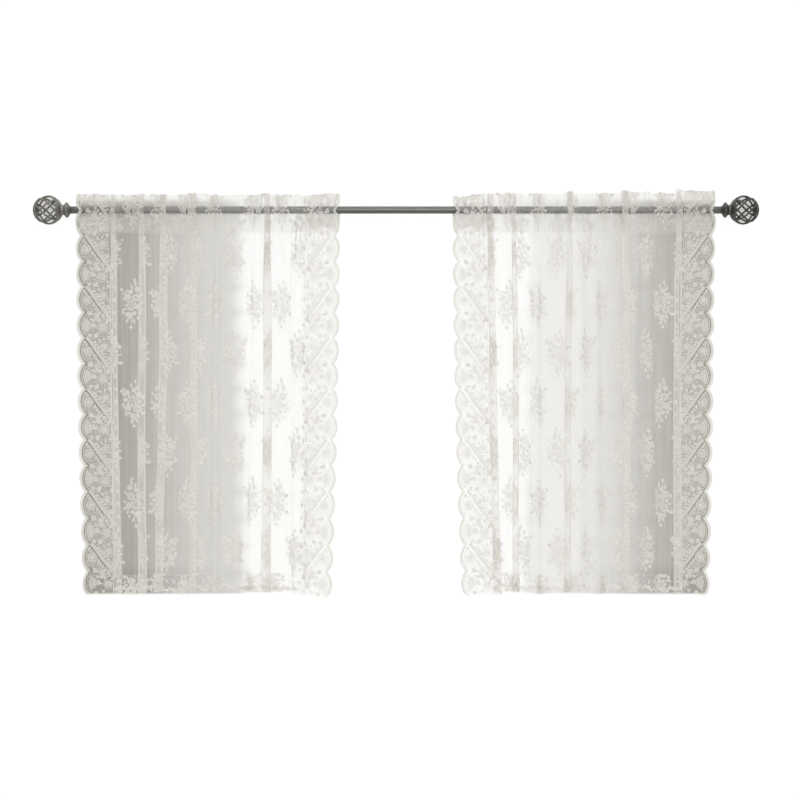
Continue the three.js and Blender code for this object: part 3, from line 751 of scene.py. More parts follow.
def bouquet_tall():
    fills, cords = Drawing(), Drawing()
    rose(fills, cords, (4, -4), 12.0, 0.9)
    rose(fills, cords, (-7, 14), 8.6, 0.1)
    blossom(fills, cords, (-12, -7), 7.6, 5, 0.2)
    blossom(fills, cords, (11, 15), 7.8, 6, 0.8)
    blossom(fills, cords, (7, -26), 8.0, 5, 1.2)
    blossom(fills, cords, (-9, 33), 6.6, 5, 0.3)
    blossom(fills, cords, (-4, -21), 5.2, 5, 0.9)
    blossom(fills, cords, (4, 27), 5.0, 5, 0.2)
    for x, y, angle, length, width in (
        (1, 32, 1.3, 12, 5.2), (-16, 18, 2.4, 10, 4.8), (16, 6, 1.0, 10, 5), (15, -10, -0.6, 10, 5),
        (-17, 1, 2.9, 8, 4.6), (-13, -15, 4.4, 11, 5), (0, -33, 4.35, 11, 4.8), (11, -34, 5.1, 11, 4.8),
        (8, 24, 1.0, 10, 4.8), (-5, 40, 1.75, 10, 4.6), (-11, -27, 4.7, 9, 4.4), (13, -19, -1.2, 9, 4.4),
        (16, 20, 0.6, 8, 4.2),
    ):
        leaf(fills, cords, (x, y), angle, length, width, vein=length > 10.5)
    stem(cords, [(-8, 24), (-9, 32), (-5, 44), (-4, 51)])
    stem(cords, [(5, -18), (6, -30), (3, -42), (4, -51)])
    stem(cords, [(13, 22), (18, 28), (23, 31)])
    for x, y in ((-4, 53), (4, -53), (25, 32), (-21, -13), (22, -20)):
        blossom(fills, cords, (x, y), 3.6, 5, 0.7, 0.75)
    for x, y in ((5, 44), (-18, 28), (18, -30), (-6, -43), (-21, 9), (20, -3)):
        knot(cords, (x, y), 1.15)
    return fills.arrays(), cords.arrays()


def scatter_bouquets(fills, cords, length):
    """The bouquets stand in columns, each column half a repeat lower than the last."""
    large, tall = bouquet_large(), bouquet_tall()
    rise, across = 222.5, 104.0
    column = 0
    u = 110.0
    while u < WIDTH - 100:
        even = column % 2 == 0
        v0 = 95.0 if even else -17.0
        k = 0
        v = v0
        while v < length + 60:
            shape = large if (k + column // 2) % 2 == 0 else tall
            flip = -1 if (column + k) % 3 == 1 else 1
            for into, (points, faces) in zip((fills, cords), shape):
                moved = points * (flip, 1, 1) + (u, v, 0)
                tris = faces[:, ::-1] if flip < 0 else faces
                corners = moved[tris]
                below = (corners[:, :, 1].max(1) < -1.0) & (corners[:, :, 1].min(1) > 1.5 - HEM)
                keep = (
                    ((corners[:, :, 1].min(1) > 1.0) | below)
                    & (corners[:, :, 1].max(1) < length - 1)
                    & (corners[:, :, 0].min(1) > BORDER - 3)
                    & (corners[:, :, 0].max(1) < WIDTH - BORDER + 3)
                )
                if keep.any():
                    used, index = np.unique(tris[keep], return_inverse=True)
                    into.add(moved[used], index.reshape(-1, 3))
            v += rise
            k += 1
        column += 1
        u += across / 2


def hem_lace(fills, cords):
    """Flowers and leaves in a row along the foot, in the layer that is turned up."""
    rng = np.random.default_rng(17)
    u, k = BORDER + 6.0, 0
    while u < WIDTH - BORDER - 6:
        at = (u, -10.5 - 3.5 * math.sin(u / 19) - rng.uniform(0, 3))
        if k % 3 == 0:
            blossom(fills, cords, at, rng.uniform(4.6, 5.8), 5, rng.uniform(0, 1), 0.8)
        else:
            side = 1 if k % 3 == 1 else -1
            for turn in (0.5, 1.5, 2.5):
                leaf(fills, cords, at, side * turn + rng.uniform(-0.2, 0.2), rng.uniform(6, 8.5), 3.8, 0.75, vein=False)
        if k % 2:
            knot(cords, (u + 3, -27.0 - rng.uniform(0, 8)), 1.3)
        else:
            leaf(fills, cords, (u, -24.0), -1.5 + rng.uniform(-0.6, 0.6), 8.5, 4.0, 0.75, vein=False)
        u += 8.4
        k += 1


def arc_points(centre, radius, a, b, n):
    t = np.linspace(a, b, n)
    return np.stack([centre[0] + radius * np.cos(t), centre[1] + radius * np.sin(t)], 1)


def border_lace(fills, cords, length):
    """The left border, tips at u = 0. Round each scallop an edge band and an open line.
    Every second notch sends a ribbon slanting down to the inner edge, with an open line
    under it and leaves on both sides, and between the ribbons lie a shell, a ring with a
    flower in it and open flowers."""
    span = math.asin(PITCH / 2 / ARC)
    low, high = 0.7, length - 0.7
    inside = lambda p: (p[:, 1] > low) & (p[:, 1] < high)
    scallops = int(length / PITCH) + 1
    for k in range(scallops):
        v = (k + 0.5) * PITCH
        centre = np.array([ARC, v])

        def arc(radius, n=13, share=1.0):
            return arc_points(centre, radius, math.pi + span * share, math.pi - span * share, n)

        for radius, width, n, share in ((ARC - 0.9, 1.9, 15, 1.0), (ARC - 5.9, 1.2, 13, 1.0), (ARC - 9.6, 1.1, 13, 0.97)):
            line = arc(radius, n, share)
            line = line[inside(line)]
            if len(line) > 3:
                ribbon(cords, line, width)
        one, two = arc(ARC - 1.2, 15), arc(ARC - 5.8, 15)
        good = inside(one) & inside(two)
        if good.sum() > 2:
            strip(fills, two[good][::-1], one[good][::-1])
        if not low + 22 < v < high - 22:
            continue
        if k % 2 == 0:
            # a shell: three curved bands, the first with ribs
            for radius, width, share in ((28.6, 0.9, 0.84), (23.4, 1.2, 0.8), (18.6, 1.2, 0.74), (14.0, 1.0, 0.7)):
                ribbon(cords, arc(radius, 11, share), width)
            one, two = arc(24.0, 11, 0.8), arc(28.2, 11, 0.84)
            strip(fills, one[::-1], two[::-1])
            one, two = arc(14.4, 9, 0.7), arc(18.2, 9, 0.74)
            strip(fills, one[::-1], two[::-1])
            for a in np.linspace(-span * 0.78, span * 0.78, 10):
                way = np.array([math.cos(math.pi + a), math.sin(math.pi + a)])
                ribbon(cords, np.array([centre + way * 18.8, centre + way * 23.2]), 1.1, rise=0.3)
            blossom(fills, cords, centre + (-7.0, 0), 6.0, 5, 0.3, 0.8)
        else:
            # a ring with a flower
            eye = np.array([24.4, v - 1.2])
            ribbon(cords, arc_points(eye, 9.6, 0, TURN, 19)[:-1], 1.3, closed=True)
            ribbon(cords, arc_points(eye, 7.2, 0, TURN, 17)[:-1], 0.8, closed=True)
            blossom(fills, cords, eye, 5.6, 6, 0.0, 0.8)
    along = np.array([math.cos(SLANT), math.sin(SLANT)])
    across = np.array([-math.sin(SLANT), math.cos(SLANT)])
    for k in range(-1, int(length / REPEAT) + 2):
        v0 = k * REPEAT
        root = np.array([17.0, v0])
        place = lambda p, q: root + np.asarray(p)[..., None] * along + np.asarray(q)[..., None] * across
        fits = lambda p, room: low + room < p[1] < high - room and p[0] < 96
        steps = np.linspace(2, 99, 22)
        sway = 0.5 * np.sin(steps / 9)
        for q, width in ((2.4, 1.2), (7.6, 1.2), (5.0, 0.8)):
            line = place(steps, q + sway)
            line = line[inside(line)]
            if len(line) > 3:
                ribbon(cords, line, width)
        one, two = place(steps, 2.6 + sway), place(steps, 7.4 + sway)
        good = inside(one) & inside(two)
        if good.sum() > 2:
            strip(fills, two[good], one[good])
        for j, step in enumerate(np.arange(18, 97, 8.2)):
            at = place(step, 8.8)
            if fits(at, 8) and at[0] < 70:
                leaf(fills, cords, at, SLANT + 0.95, 9.6, 4.4, 0.8, vein=j % 2 == 0)
        for j, step in enumerate((6, 13, 42, 50, 58, 66, 74, 82, 90)):
            at = place(step, -2.0)
            if fits(at, 8):
                leaf(fills, cords, at, SLANT - 0.95, 8.6 if step > 20 else 6.5, 4.2, 0.8, vein=j % 2 == 0)
        for x, y, size, petals in (
            (58.5, 23.5, 9.6, 6), (61.5, -19.0, 7.8, 5), (45.0, -64.0, 6.6, 5), (46.5, 42.0, 5.4, 5), (43.0, 4.5, 5.2, 5),
            (72.0, 1.5, 4.6, 5), (71.0, 41.0, 5.0, 5), (29.0, -58.5, 5.2, 5), (30.0, 6.0, 4.0, 5), (71.5, -45.0, 4.0, 5),
        ):
            at = np.array([x, v0 + y])
            if fits(at, size + 1):
                blossom(fills, cords, at, size, petals, x * 0.37 + y * 0.11, 0.85)
                if size > 7:
                    ribbon(cords, arc_points(at, size + 1.9, 0, TURN, 21)[:-1], 0.8, closed=True)
        for x, y, angle, size in (
            (50.0, 12.0, -2.4, 8.5), (53.0, 34.5, 2.2, 8.5), (66.5, 33.5, 0.8, 8), (68.0, 14.0, -0.7, 8),
            (45.0, 26.0, 3.1, 8), (54.0, -9.0, 2.3, 8), (70.0, -26.0, -0.9, 8), (60.5, -6.0, 1.4, 8),
            (52.5, -20.0, 3.3, 7), (38.0, -61.0, 3.0, 7), (51.0, -71.0, -0.9, 8), (41.0, -71.5, -2.1, 8), (60.0, 46.0, 1.5, 8),
            (36.0, 52.5, 2.9, 8), (37.0, 43.0, 3.6, 7),
        ):
            at = np.array([x, v0 + y])
            if fits(at, size + 1):
                leaf(fills, cords, at, angle, size, 4.0, 0.8, vein=False)
    # the straight inner edge, and sprigs from it into the sheer cloth
    t = np.arange(1.2, high - 0.5, 4.1)
    for u in (76.4, 80.6):
        ribbon(cords, np.stack([np.full_like(t, u), t], 1), 1.1)
    for k in range(scallops + 1):
        for centre_v, big in ((k * PITCH, False), ((k + 0.5) * PITCH, True)):
            if not low + 16 < centre_v < high - 16:
                continue
            for a, size in ((0.0, 10), (0.8, 8.5), (-0.8, 8.5)) if big else ((0.45, 7.5), (-0.45, 7.5)):
                leaf(fills, cords, (82.0, centre_v), a, size, 4.2, 0.8, vein=False)
            if big:
                knot(cords, (94.5, centre_v), 1.3)


def mirrored(points, faces):
    return points * (-1, 1, 1) + (WIDTH, 0, 0), faces[:, ::-1]


def sheet_columns(panel):
    """Where the cloth's threads are drawn across: closer together where it folds."""
    near = np.zeros_like(panel.u)
    for z in (-60, -250, -450, -650, FOOT):
        for kind, side, start, cloth in panel.laid(z)[0]:
            near = np.maximum(near, (panel.u > start - 3) & (panel.u < start + cloth + 3))
    density = np.where(near > 0, 1 / 1.95, 1 / 3.2)
    total = np.concatenate([[0], np.cumsum((density[1:] + density[:-1]) / 2 * panel.STEP)])
    return np.interp(np.linspace(0, total[-1], int(total[-1])), total, panel.u)


def grid_faces(rows, columns, start=0):
    i, j = np.meshgrid(np.arange(rows - 1), np.arange(columns - 1), indexing="ij")
    a = (i * columns + j).ravel() + start
    return np.stack([a, a + 1, a + columns + 1, a + columns], 1)


def sheet_of(panel, name, rows, columns, height, material):
    """The cloth itself between the scalloped edges, at the given heights v."""
    reach = 26.0
    side = np.minimum(columns, WIDTH - columns)
    pull = np.clip(1 - side / reach, 0, 1)
    points, uv = [], []
    for v in rows:
        move = inset(v) * pull
        u = np.where(columns < WIDTH / 2, columns + move, columns - move)
        line = np.stack([u, np.full_like(u, v), np.full_like(u, height)], 1)
        points.append(line)
    flat_points = np.concatenate(points)
    uv = flat_points[:, :2] / UV_SCALE
    faces = grid_faces(len(rows), len(columns))
    return new_mesh(name, panel.place(flat_points), faces, material, uv)


def fold_edges(panel, name, material):
    """Where a fold turns back the threads lie close behind each other. A narrow second
    layer of net follows each turn, from under the pocket to the foot."""
    # the net of these strips is painted lighter, a painted highlight along each turn
    heights = np.linspace(2.0, POCKET_FOOT - 4 - FOOT, 120)
    across = np.linspace(-3.9, 3.9, 5)
    edges = []
    for v in heights:
        z = FOOT + v
        hung = float(smooth((-z + POCKET_FOOT + 6) / 118))
        line = []
        for kind, side, start, cloth in panel.laid(z)[0]:
            if kind != "doubled":
                continue
            kept = mix(0.74, 1.0, hung) * cloth
            begin = start + (cloth - kept) / 2
            line += [begin + 0.168 * kept, begin + 0.832 * kept]
        edges.append(line)
    edges = np.array(edges)
    points, faces = [], []
    for k in range(edges.shape[1]):
        outward = edges[:, k].mean() / WIDTH
        outward = 1 - outward if name.endswith("left") else outward
        wide = mix(0.5, 1.0, float(smooth((outward - 0.2) / 0.5)))
        u = edges[:, k][:, None] + across[None, :] * wide * mix(1.0, 0.7, 0.5 + 0.5 * np.sin(heights / 90 + k))[:, None]
        v = np.broadcast_to(heights[:, None], u.shape)
        points.append(np.stack([u.ravel(), v.ravel(), np.full(u.size, 0.22)], 1))
        faces.append(grid_faces(len(heights), len(across), k * u.size))
    points, faces = np.concatenate(points), np.concatenate(faces)
    return new_mesh(name, panel.place(points), faces, material, points[:, :2] / UV_SCALE)


def worked(panel, name, points, faces, material):
    """Lace on the cloth's face. The map repeats the flat cloth's."""
    uv = points[:, :2] + np.where(points[:, 1:2] < 0, (0.0, UV_SCALE), (0.0, 0.0))
    uv = uv / UV_SCALE
    return new_mesh(name, panel.place(points), faces, material, uv)


def stitches(panel, into, v, base=0.35, step=4.2, length=3.0, width=0.7):
    for u in np.arange(14, WIDTH - 14, step):
        ribbon(into, [(u, v), (u + length / 2, v + 0.12), (u + length, v)], width, base=base, rise=0.35)


def build_panel(name):
    panel = Panel(name)
    length = panel.length
    rows = np.unique(np.concatenate([panel.v, np.arange(1, int(length / PITCH) + 1) * PITCH]))
    rows = rows[np.concatenate([[True], np.diff(rows) > 0.35])]
    rows = rows[rows <= length]
    columns = sheet_columns(panel)
    short = name.replace("panel_", "")
    cloth = sheet_of(panel, f"lace_cloth_{short}", rows, columns, 0.0, NETTING)
    hem_rows = np.linspace(0.4, HEM + 1.0, 11)
    hem = sheet_of(panel, f"hem_turning_{short}", hem_rows, columns, -1.0, HEM_NET)

    fills, cords = Drawing(), Drawing()
    scatter_bouquets(fills, cords, length)
    hem_lace(fills, cords)
    edge_fills, edge_cords = Drawing(), Drawing()
    border_lace(edge_fills, edge_cords, length)
    for left, both in ((edge_fills, fills), (edge_cords, cords)):
        points, faces = left.arrays()
        both.add(points, faces)
        both.add(*mirrored(points, faces))
    creases = fold_edges(panel, f"fold_edges_{short}", FOLD_NET_PAINTED_HIGHLIGHT)
    motif_fill = worked(panel, f"lace_filling_{short}", *fills.arrays(), FILLING)
    motif_cord = worked(panel, f"lace_cording_{short}", *cords.arrays(), CORDING)

    seams = Drawing()
    stitches(panel, seams, HEM - 1.5)
    front = panel.v < panel.top_v
    level = panel.Z[front, :].mean(1)
    pocket = float(np.interp(POCKET_FOOT + 1.5, level, panel.v[front]))
    over = float(np.interp(RUFFLE_FOOT - 0.3, level, panel.v[front]))
    stitches(panel, seams, pocket)
    stitches(panel, seams, over)
    seam = worked(panel, f"stitching_{short}", *seams.arrays(), CORDING)

    pieces = [cloth, hem, creases, motif_fill, motif_cord, seam]
    for piece in pieces:
        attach(piece, "root")
    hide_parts(name)
    tris = {p.name: sum(len(f.vertices) - 2 for f in p.data.polygons) for p in pieces}
    print(name, "length", round(length, 1), "net cover", round(net_cover(NET_LEVEL), 2), tris)
    return panel


for panel_name in PANELS:
    build_panel(panel_name)


# ------------------------------------------------------------------ rod and finials


def metal(name, dark, light, rough):
    """Lacquered steel: a dark coat, thin at the edges, with fine brush marks and dust."""
    material, tree = nodes_of(name)
    place = tree.nodes.new("ShaderNodeTexCoord")
    mottled = tree.nodes.new("ShaderNodeTexNoise")
    mottled.inputs["Scale"].default_value = 60
    mottled.inputs["Detail"].default_value = 6
    mottled.inputs["Roughness"].default_value = 0.62
    tree.links.new(place.outputs["Object"], mottled.inputs["Vector"])
    shape = tree.nodes.new("ShaderNodeNewGeometry")
    worn = tree.nodes.new("ShaderNodeMapRange")
    worn.inputs["From Min"].default_value = 0.51
    worn.inputs["From Max"].default_value = 0.6
    tree.links.new(shape.outputs["Pointiness"], worn.inputs["Value"])
    shade = tree.nodes.new("ShaderNodeMix")
    shade.data_type = "RGBA"
    shade.inputs[6].default_value = dark
    shade.inputs[7].default_value = light
    amount = math_node(tree, "MULTIPLY_ADD", worn.outputs[0], 0.55, math_node(tree, "MULTIPLY", mottled.outputs[0], 0.6))
    amount.node.use_clamp = True
    tree.links.new(amount, shade.inputs[0])
    fine = tree.nodes.new("ShaderNodeTexNoise")
    fine.inputs["Scale"].default_value = 900
    fine.inputs["Detail"].default_value = 3
    tree.links.new(place.outputs["Object"], fine.inputs["Vector"])
    bump = tree.nodes.new("ShaderNodeBump")
    bump.inputs["Strength"].default_value = 0.12
    bump.inputs["Distance"].default_value = 0.0003
    tree.links.new(fine.outputs[0], bump.inputs["Height"])
    uneven_rough = math_node(tree, "MULTIPLY_ADD", mottled.outputs[0], 0.22, rough - 0.1)
    base = tree.nodes.new("ShaderNodeBsdfPrincipled")
    base.inputs["Metallic"].default_value = 0.75
    base.inputs["Coat Weight"].default_value = 0.25
    base.inputs["Coat Roughness"].default_value = 0.35
    tree.links.new(shade.outputs[2], base.inputs["Base Color"])
    tree.links.new(uneven_rough, base.inputs["Roughness"])
    tree.links.new(bump.outputs[0], base.inputs["Normal"])
    out = tree.nodes.new("ShaderNodeOutputMaterial")
    tree.links.new(base.outputs[0], out.inputs[0])
    return material


ROD_METAL = metal("rod_lacquer", (0.105, 0.104, 0.1, 1), (0.225, 0.22, 0.213, 1), 0.42)
FINIAL_METAL = metal("finial_lacquer", (0.05, 0.05, 0.046, 1), (0.17, 0.165, 0.15, 1), 0.4)
# the left ball's lacquer is painted lighter than the right's: painted light, as if more light fell on it
PAINTED_LIGHT_FINIAL_METAL = metal("finial_lacquer_painted_lighter", (0.15, 0.147, 0.135, 1), (0.36, 0.35, 0.32, 1), 0.45)


def lathe(profile, sides, hand=1, closed=True):
    """A profile of (radius, place along the rod) turned about the rod's axis."""
    profile = np.asarray(profile, float)
    n = len(profile)
    a = np.arange(sides) * TURN / sides
    r, x = profile[:, :1], profile[:, 1:]
    points = np.stack(
        [np.broadcast_to(x * hand, (n, sides)), r * np.cos(a)[None, :], r * np.sin(a)[None, :]], -1
    ).reshape(-1, 3)
    faces = []
    last = n if closed else n - 1
    for i in range(last):
        j = (i + 1) % n
        for k in range(sides):
            m = (k + 1) % sides
            quad = (i * sides + k, i * sides + m, j * sides + m, j * sides + k)
            faces.append(quad if hand > 0 else quad[::-1])
    return points, np.asarray(faces)


def rod_piece():
    r, w, h = ROD_RADIUS, 1.0, ROD_HALF
    lip = 0.25
    profile = [(r - w, -h + lip), (r - w + lip, -h), (r - lip, -h), (r, -h + lip)]
    profile += [(r, x) for x in np.linspace(-h + 20, h - 20, 40)]
    profile += [(r, h - lip), (r - lip, h), (r - w + lip, h), (r - w, h - lip)]
    points, faces = lathe(profile, 64)
    rod = new_mesh("rod_tube", points * MM, faces[:, ::-1], ROD_METAL)
    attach(rod, "root")
    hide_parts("rod")
    return rod


def tube(path, radius, sides=10, flat_share=0.8):
    """A bar along a path, a little flatter across the ball than along it."""
    path = np.asarray(path, float)
    tangent = np.gradient(path, axis=0)
    tangent /= np.linalg.norm(tangent, axis=1, keepdims=True)
    centre = np.array([path[:, 0].mean(), 0, 0])
    out = path - [783.0, 0, 0]
    out /= np.linalg.norm(out, axis=1, keepdims=True)
    side = np.cross(tangent, out)
    side /= np.linalg.norm(side, axis=1, keepdims=True)
    a = np.arange(sides) * TURN / sides
    ring = (
        path[:, None, :]
        + side[:, None, :] * (radius * np.cos(a))[None, :, None]
        + out[:, None, :] * (radius * flat_share * np.sin(a))[None, :, None]
    )
    n = len(path)
    faces = []
    for i in range(n - 1):
        for k in range(sides):
            m = (k + 1) % sides
            faces.append((i * sides + k, i * sides + m, (i + 1) * sides + m, (i + 1) * sides + k))
    points = ring.reshape(-1, 3)
    points = np.vstack([points, path[:1], path[-1:]])
    s, e = len(points) - 2, len(points) - 1
    caps = []
    for k in range(sides):
        m = (k + 1) % sides
        caps.append((s, m, k))
        caps.append((e, (n - 1) * sides + k, (n - 1) * sides + m))
    quads = np.asarray(faces)
    tris = np.concatenate([quads[:, [0, 1, 2]], quads[:, [0, 2, 3]], np.asarray(caps)])
    return points, tris


def finial_piece(name, hand, material):
    face, centre, ball, inner = 733.3, 783.0, 33.5, 30.5
    rad = math.radians

    def on(radius, angle):
        return (radius * math.sin(rad(angle)), centre - radius * math.cos(rad(angle)))

    neck = [(0.01, face - 14), (6.0, face - 14), (6.5, face - 13.4), (6.5, face), (9.3, face)]
    neck += [(10.6, face + 1.0), (14.2, face + 3.2), (16.6, face + 4.9)]
    neck += [(17.3, face + 6.2), (17.6, face + 7.4), (17.3, face + 8.6), (16.6, face + 9.7)]
    neck += [(14.2, face + 11.2), (12.2, face + 12.6), (11.5, face + 14.0)]
    neck += [on(ball, a) for a in (21, 25, 29.5, 34, 38, 42, 45.5)]
    neck += [on(ball - 0.5, 47), on(inner + 0.5, 47), on(inner, 45.5)]
    neck += [on(inner, a) for a in (40, 30, 20, 10)] + [(0.01, centre - inner)]
    cap = [(0.01, centre + ball + 0.4), (3.0, centre + ball + 0.2)]
    cap += [on(ball, 180 - a) for a in (8, 14, 20, 26, 31, 36.5)]
    cap += [on(ball - 0.5, 180 - 38), on(inner + 0.5, 180 - 38), on(inner, 180 - 36.5)]
    cap += [on(inner, 180 - a) for a in (26, 12)] + [(0.01, centre + inner)]
    points, faces, count = [], [], 0
    for profile in (neck, cap):
        p, f = lathe(profile, 48)
        f = f[:, ::-1]
        tri = np.concatenate([f[:, [0, 1, 2]], f[:, [0, 2, 3]]])
        points.append(p)
        faces.append(tri + count)
        count += len(p)

    stretched = lambda lat: math.log(math.tan(math.pi / 4 + lat / 2))
    begin, end = rad(47 - 4 - 90), rad(90 - 38 + 4)
    start = stretched(rad(-39))
    for k in range(6):
        for way in (1, -1):
            path = []
            for lat in np.linspace(begin, end, 23):
                turn = TURN * k / 6 - 0.11 * hand + way * 0.93 * (stretched(lat) - start)
                radius = ball - 2.25
                path.append((centre + radius * math.sin(lat), -radius * math.cos(lat) * math.cos(turn), radius * math.cos(lat) * math.sin(turn)))
            p, tri = tube(path, 2.25)
            points.append(p)
            faces.append(tri + count)
            count += len(p)
    points, faces = np.concatenate(points), np.concatenate(faces)
    if hand < 0:
        points = points * (-1, -1, 1)
    piece = new_mesh(f"{name}_ball", points * MM, faces, material)
    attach(piece, "root")
    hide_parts(name)
    return piece


rod_piece()
# the left ball takes the lacquer painted lighter (painted light)
finial_piece("finial_left", -1, PAINTED_LIGHT_FINIAL_METAL)
finial_piece("finial_right", 1, FINIAL_METAL)


# ------------------------------------------------------------------ stage, light, camera


WALL_Y, FLOOR_Z = 0.06, -1.5


def paper(name, colour, rough=0.95):
    """Matt paper."""
    material, tree = nodes_of(name)
    base = tree.nodes.new("ShaderNodeBsdfPrincipled")
    base.inputs["Base Color"].default_value = colour
    base.inputs["Roughness"].default_value = rough
    base.inputs["Specular IOR Level"].default_value = 0.05
    return material, tree, base


def ramp_node(tree, value, low, high):
    node = tree.nodes.new("ShaderNodeMapRange")
    node.interpolation_type = "SMOOTHSTEP"
    node.inputs["From Min"].default_value = low
    node.inputs["From Max"].default_value = high
    tree.links.new(value, node.inputs["Value"])
    return node.outputs[0]


def painted_shade_backdrop_material():
    """White paper that mostly glows by itself, with a painted shade behind the outer part of each panel.
    From the back it is clear, so that the curtain is seen from there too."""
    material, tree, base = paper("backdrop_paper_painted_shade", (0.8, 0.8, 0.8, 1))
    place = tree.nodes.new("ShaderNodeTexCoord")
    split = tree.nodes.new("ShaderNodeSeparateXYZ")
    tree.links.new(place.outputs["Object"], split.inputs[0])
    x, z = split.outputs[0], split.outputs[2]
    inward = math_node(tree, "MULTIPLY", z, -0.019)
    # the painted shade ends in scallops too, as high as those of the cloth in front of it
    spread = (3.6 + WALL_Y) / 3.6
    height = math_node(tree, "MULTIPLY_ADD", z, 1000 / spread, 427.5 / spread - 427.5 - FOOT)
    sunk = ramp_node(tree, height, 300.0, 50.0)
    height = math_node(tree, "MULTIPLY_ADD", sunk, DROP, height)
    wrapped = math_node(tree, "FRACT", math_node(tree, "DIVIDE", height, PITCH))
    t = math_node(tree, "MULTIPLY", math_node(tree, "SUBTRACT", wrapped, 0.5), PITCH * MM)
    round_ = math_node(tree, "SQRT", math_node(tree, "SUBTRACT", (ARC * MM) ** 2, math_node(tree, "MULTIPLY", t, t)))
    cut = math_node(tree, "SUBTRACT", ARC * MM, round_)
    inward = math_node(tree, "ADD", inward, cut)
    # painted shade behind the outer part of each panel, deepest towards its outer edge and fading out inwards, in place
    # of a wall in shadow
    parts = []
    for side, edge, deep, middle, most, start, end in (
        (-1, 0.7348, 0.68, 0.50, 1.0, 0.345, 0.395),
        (1, 0.7328, 0.70, 0.21, 0.95, 0.295, 0.335),
    ):
        away = math_node(tree, "MULTIPLY_ADD", x, float(side), inward)
        outer = ramp_node(tree, away, edge, edge - 0.007)
        body = math_node(tree, "MULTIPLY_ADD", ramp_node(tree, away, 0.39, deep), most - middle, middle)
        body = math_node(tree, "MULTIPLY", body, ramp_node(tree, away, start, end))
        parts.append(math_node(tree, "MULTIPLY", outer, body))
    shade = math_node(tree, "ADD", *parts)
    shade = math_node(tree, "MULTIPLY", shade, ramp_node(tree, z, 0.036, 0.022))
    shade = math_node(tree, "MULTIPLY", shade, ramp_node(tree, z, -0.8735, -0.8665))
    # painted shade: a grey disc behind each ball, which shows between its bars too
    level = math_node(tree, "SUBTRACT", z, 0.4275 * (spread - 1))
    for side in (-1.0, 1.0):
        off = math_node(tree, "SUBTRACT", x, (side * 0.783 - 0.009) * spread + 0.009)
        far = math_node(tree, "SQRT", math_node(tree, "ADD", math_node(tree, "MULTIPLY", off, off), math_node(tree, "MULTIPLY", level, level)))
        shade = math_node(tree, "MULTIPLY_ADD", ramp_node(tree, far, 0.0325, 0.0305), 0.56, shade)
    # the painted shade turns the paper's glow from white to a warm grey
    tone = tree.nodes.new("ShaderNodeMix")
    tone.data_type = "RGBA"
    tone.inputs[6].default_value = (1, 1, 1, 1)
    # the painted shade is darker still towards the foot
    deep = tree.nodes.new("ShaderNodeMix")
    deep.data_type = "RGBA"
    deep.inputs[6].default_value = (0.26, 0.243, 0.203, 1)
    deep.inputs[7].default_value = (0.15, 0.138, 0.11, 1)
    tree.links.new(ramp_node(tree, z, -0.8, -0.83), deep.inputs[0])
    tree.links.new(deep.outputs[2], tone.inputs[7])
    tree.links.new(shade, tone.inputs[0])
    # under the painted shade the paper's own colour is darker too
    dim = tree.nodes.new("ShaderNodeMix")
    dim.data_type = "RGBA"
    dim.inputs[6].default_value = (0.2, 0.2, 0.2, 1)
    dim.inputs[7].default_value = (0.06, 0.057, 0.05, 1)
    tree.links.new(shade, dim.inputs[0])
    tree.links.new(dim.outputs[2], base.inputs["Base Color"])
    tree.links.new(tone.outputs[2], base.inputs["Emission Color"])
    base.inputs["Emission Strength"].default_value = 0.86
    shape = tree.nodes.new("ShaderNodeNewGeometry")
    clear = tree.nodes.new("ShaderNodeBsdfTransparent")
    blend = tree.nodes.new("ShaderNodeMixShader")
    out = tree.nodes.new("ShaderNodeOutputMaterial")
    tree.links.new(shape.outputs["Backfacing"], blend.inputs[0])
    tree.links.new(base.outputs[0], blend.inputs[1])
    tree.links.new(clear.outputs[0], blend.inputs[2])
    tree.links.new(blend.outputs[0], out.inputs[0])
    return material


def floor_material():
    material, tree, base = paper("floor_paper", (0.72, 0.72, 0.71, 1))
    out = tree.nodes.new("ShaderNodeOutputMaterial")
    tree.links.new(base.outputs[0], out.inputs[0])
    return material


wall = new_mesh(
    "backdrop",
    [(-4, WALL_Y, FLOOR_Z), (4, WALL_Y, FLOOR_Z), (4, WALL_Y, 2.2), (-4, WALL_Y, 2.2)],
    [(0, 1, 2, 3)],
    painted_shade_backdrop_material(),
)
wall.visible_diffuse = wall.visible_transmission = wall.visible_glossy = False
floor = new_mesh(
    "floor",
    [(-6, -7, FLOOR_Z), (6, -7, FLOOR_Z), (6, 5, FLOOR_Z), (-6, 5, FLOOR_Z)],
    [(0, 1, 2, 3)],
    floor_material(),
)


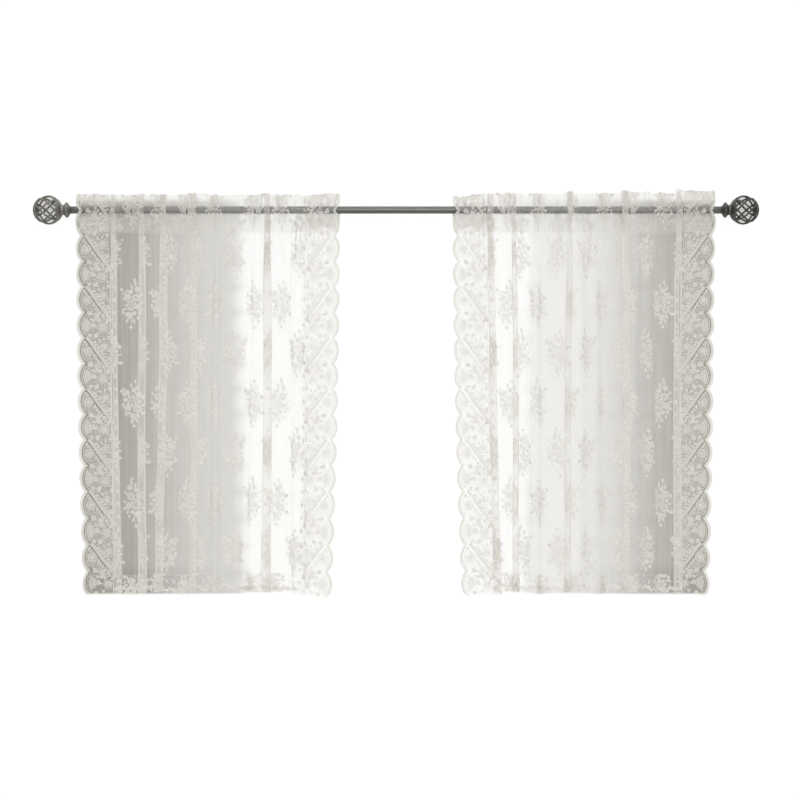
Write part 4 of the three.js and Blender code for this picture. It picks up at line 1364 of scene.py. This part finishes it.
def area_light(name, place, target, size, power, colour=(1, 1, 1), spread=180):
    light = bpy.data.lights.new(name, "AREA")
    light.spread = math.radians(spread)
    light.shape = "RECTANGLE"
    light.size, light.size_y = size
    light.energy = power
    light.color = colour
    obj = bpy.data.objects.new(name, light)
    obj.location = place
    obj.rotation_euler = (Vector(target) - Vector(place)).to_track_quat("-Z", "Y").to_euler()
    scene.collection.objects.link(obj)
    return obj


area_light("key", (0.25, -4.2, 0.7), (0.04, 0, -0.42), (1.8, 1.6), 7.2, spread=54)
area_light("fill", (-0.9, -4.2, 0.9), (0, 0, -0.4), (2.2, 1.8), 7, (1, 0.98, 0.945))
area_light("top", (0, -0.7, 2.4), (0, 0.0, 0), (3.0, 0.8), 13)
area_light("back", (0.5, 3.2, 1.4), (0, 0, -0.4), (2.4, 1.8), 16)
wall.visible_shadow = False

# a room that is dim at eye level and bright overhead
world = bpy.data.worlds.new("studio")
world.use_nodes = True
tree = world.node_tree
sky = tree.nodes["Background"]
sky.inputs["Color"].default_value = (1.0, 0.985, 0.95, 1)
where = tree.nodes.new("ShaderNodeTexCoord")
parts = tree.nodes.new("ShaderNodeSeparateXYZ")
tree.links.new(where.outputs["Generated"], parts.inputs[0])
rise = tree.nodes.new("ShaderNodeMapRange")
rise.interpolation_type = "SMOOTHSTEP"
rise.inputs["From Min"].default_value = 0.05
rise.inputs["From Max"].default_value = 0.75
rise.inputs["To Min"].default_value = 0.32
rise.inputs["To Max"].default_value = 0.95
tree.links.new(parts.outputs[2], rise.inputs["Value"])
tree.links.new(rise.outputs[0], sky.inputs["Strength"])
scene.world = world

scene.view_settings.view_transform = "Standard"
scene.cycles.transparent_max_bounces = 24
scene.cycles.diffuse_bounces = 8

camera = bpy.data.cameras.new("camera")
camera.lens = 72
camera.sensor_width = 36
camera.clip_end = 60
eye = bpy.data.objects.new("camera", camera)
eye.location = (0.009, -3.6, -0.4275)
eye.rotation_euler = (math.pi / 2, 0, 0)
scene.collection.objects.link(eye)
scene.camera = eye

bpy.context.view_layer.update()
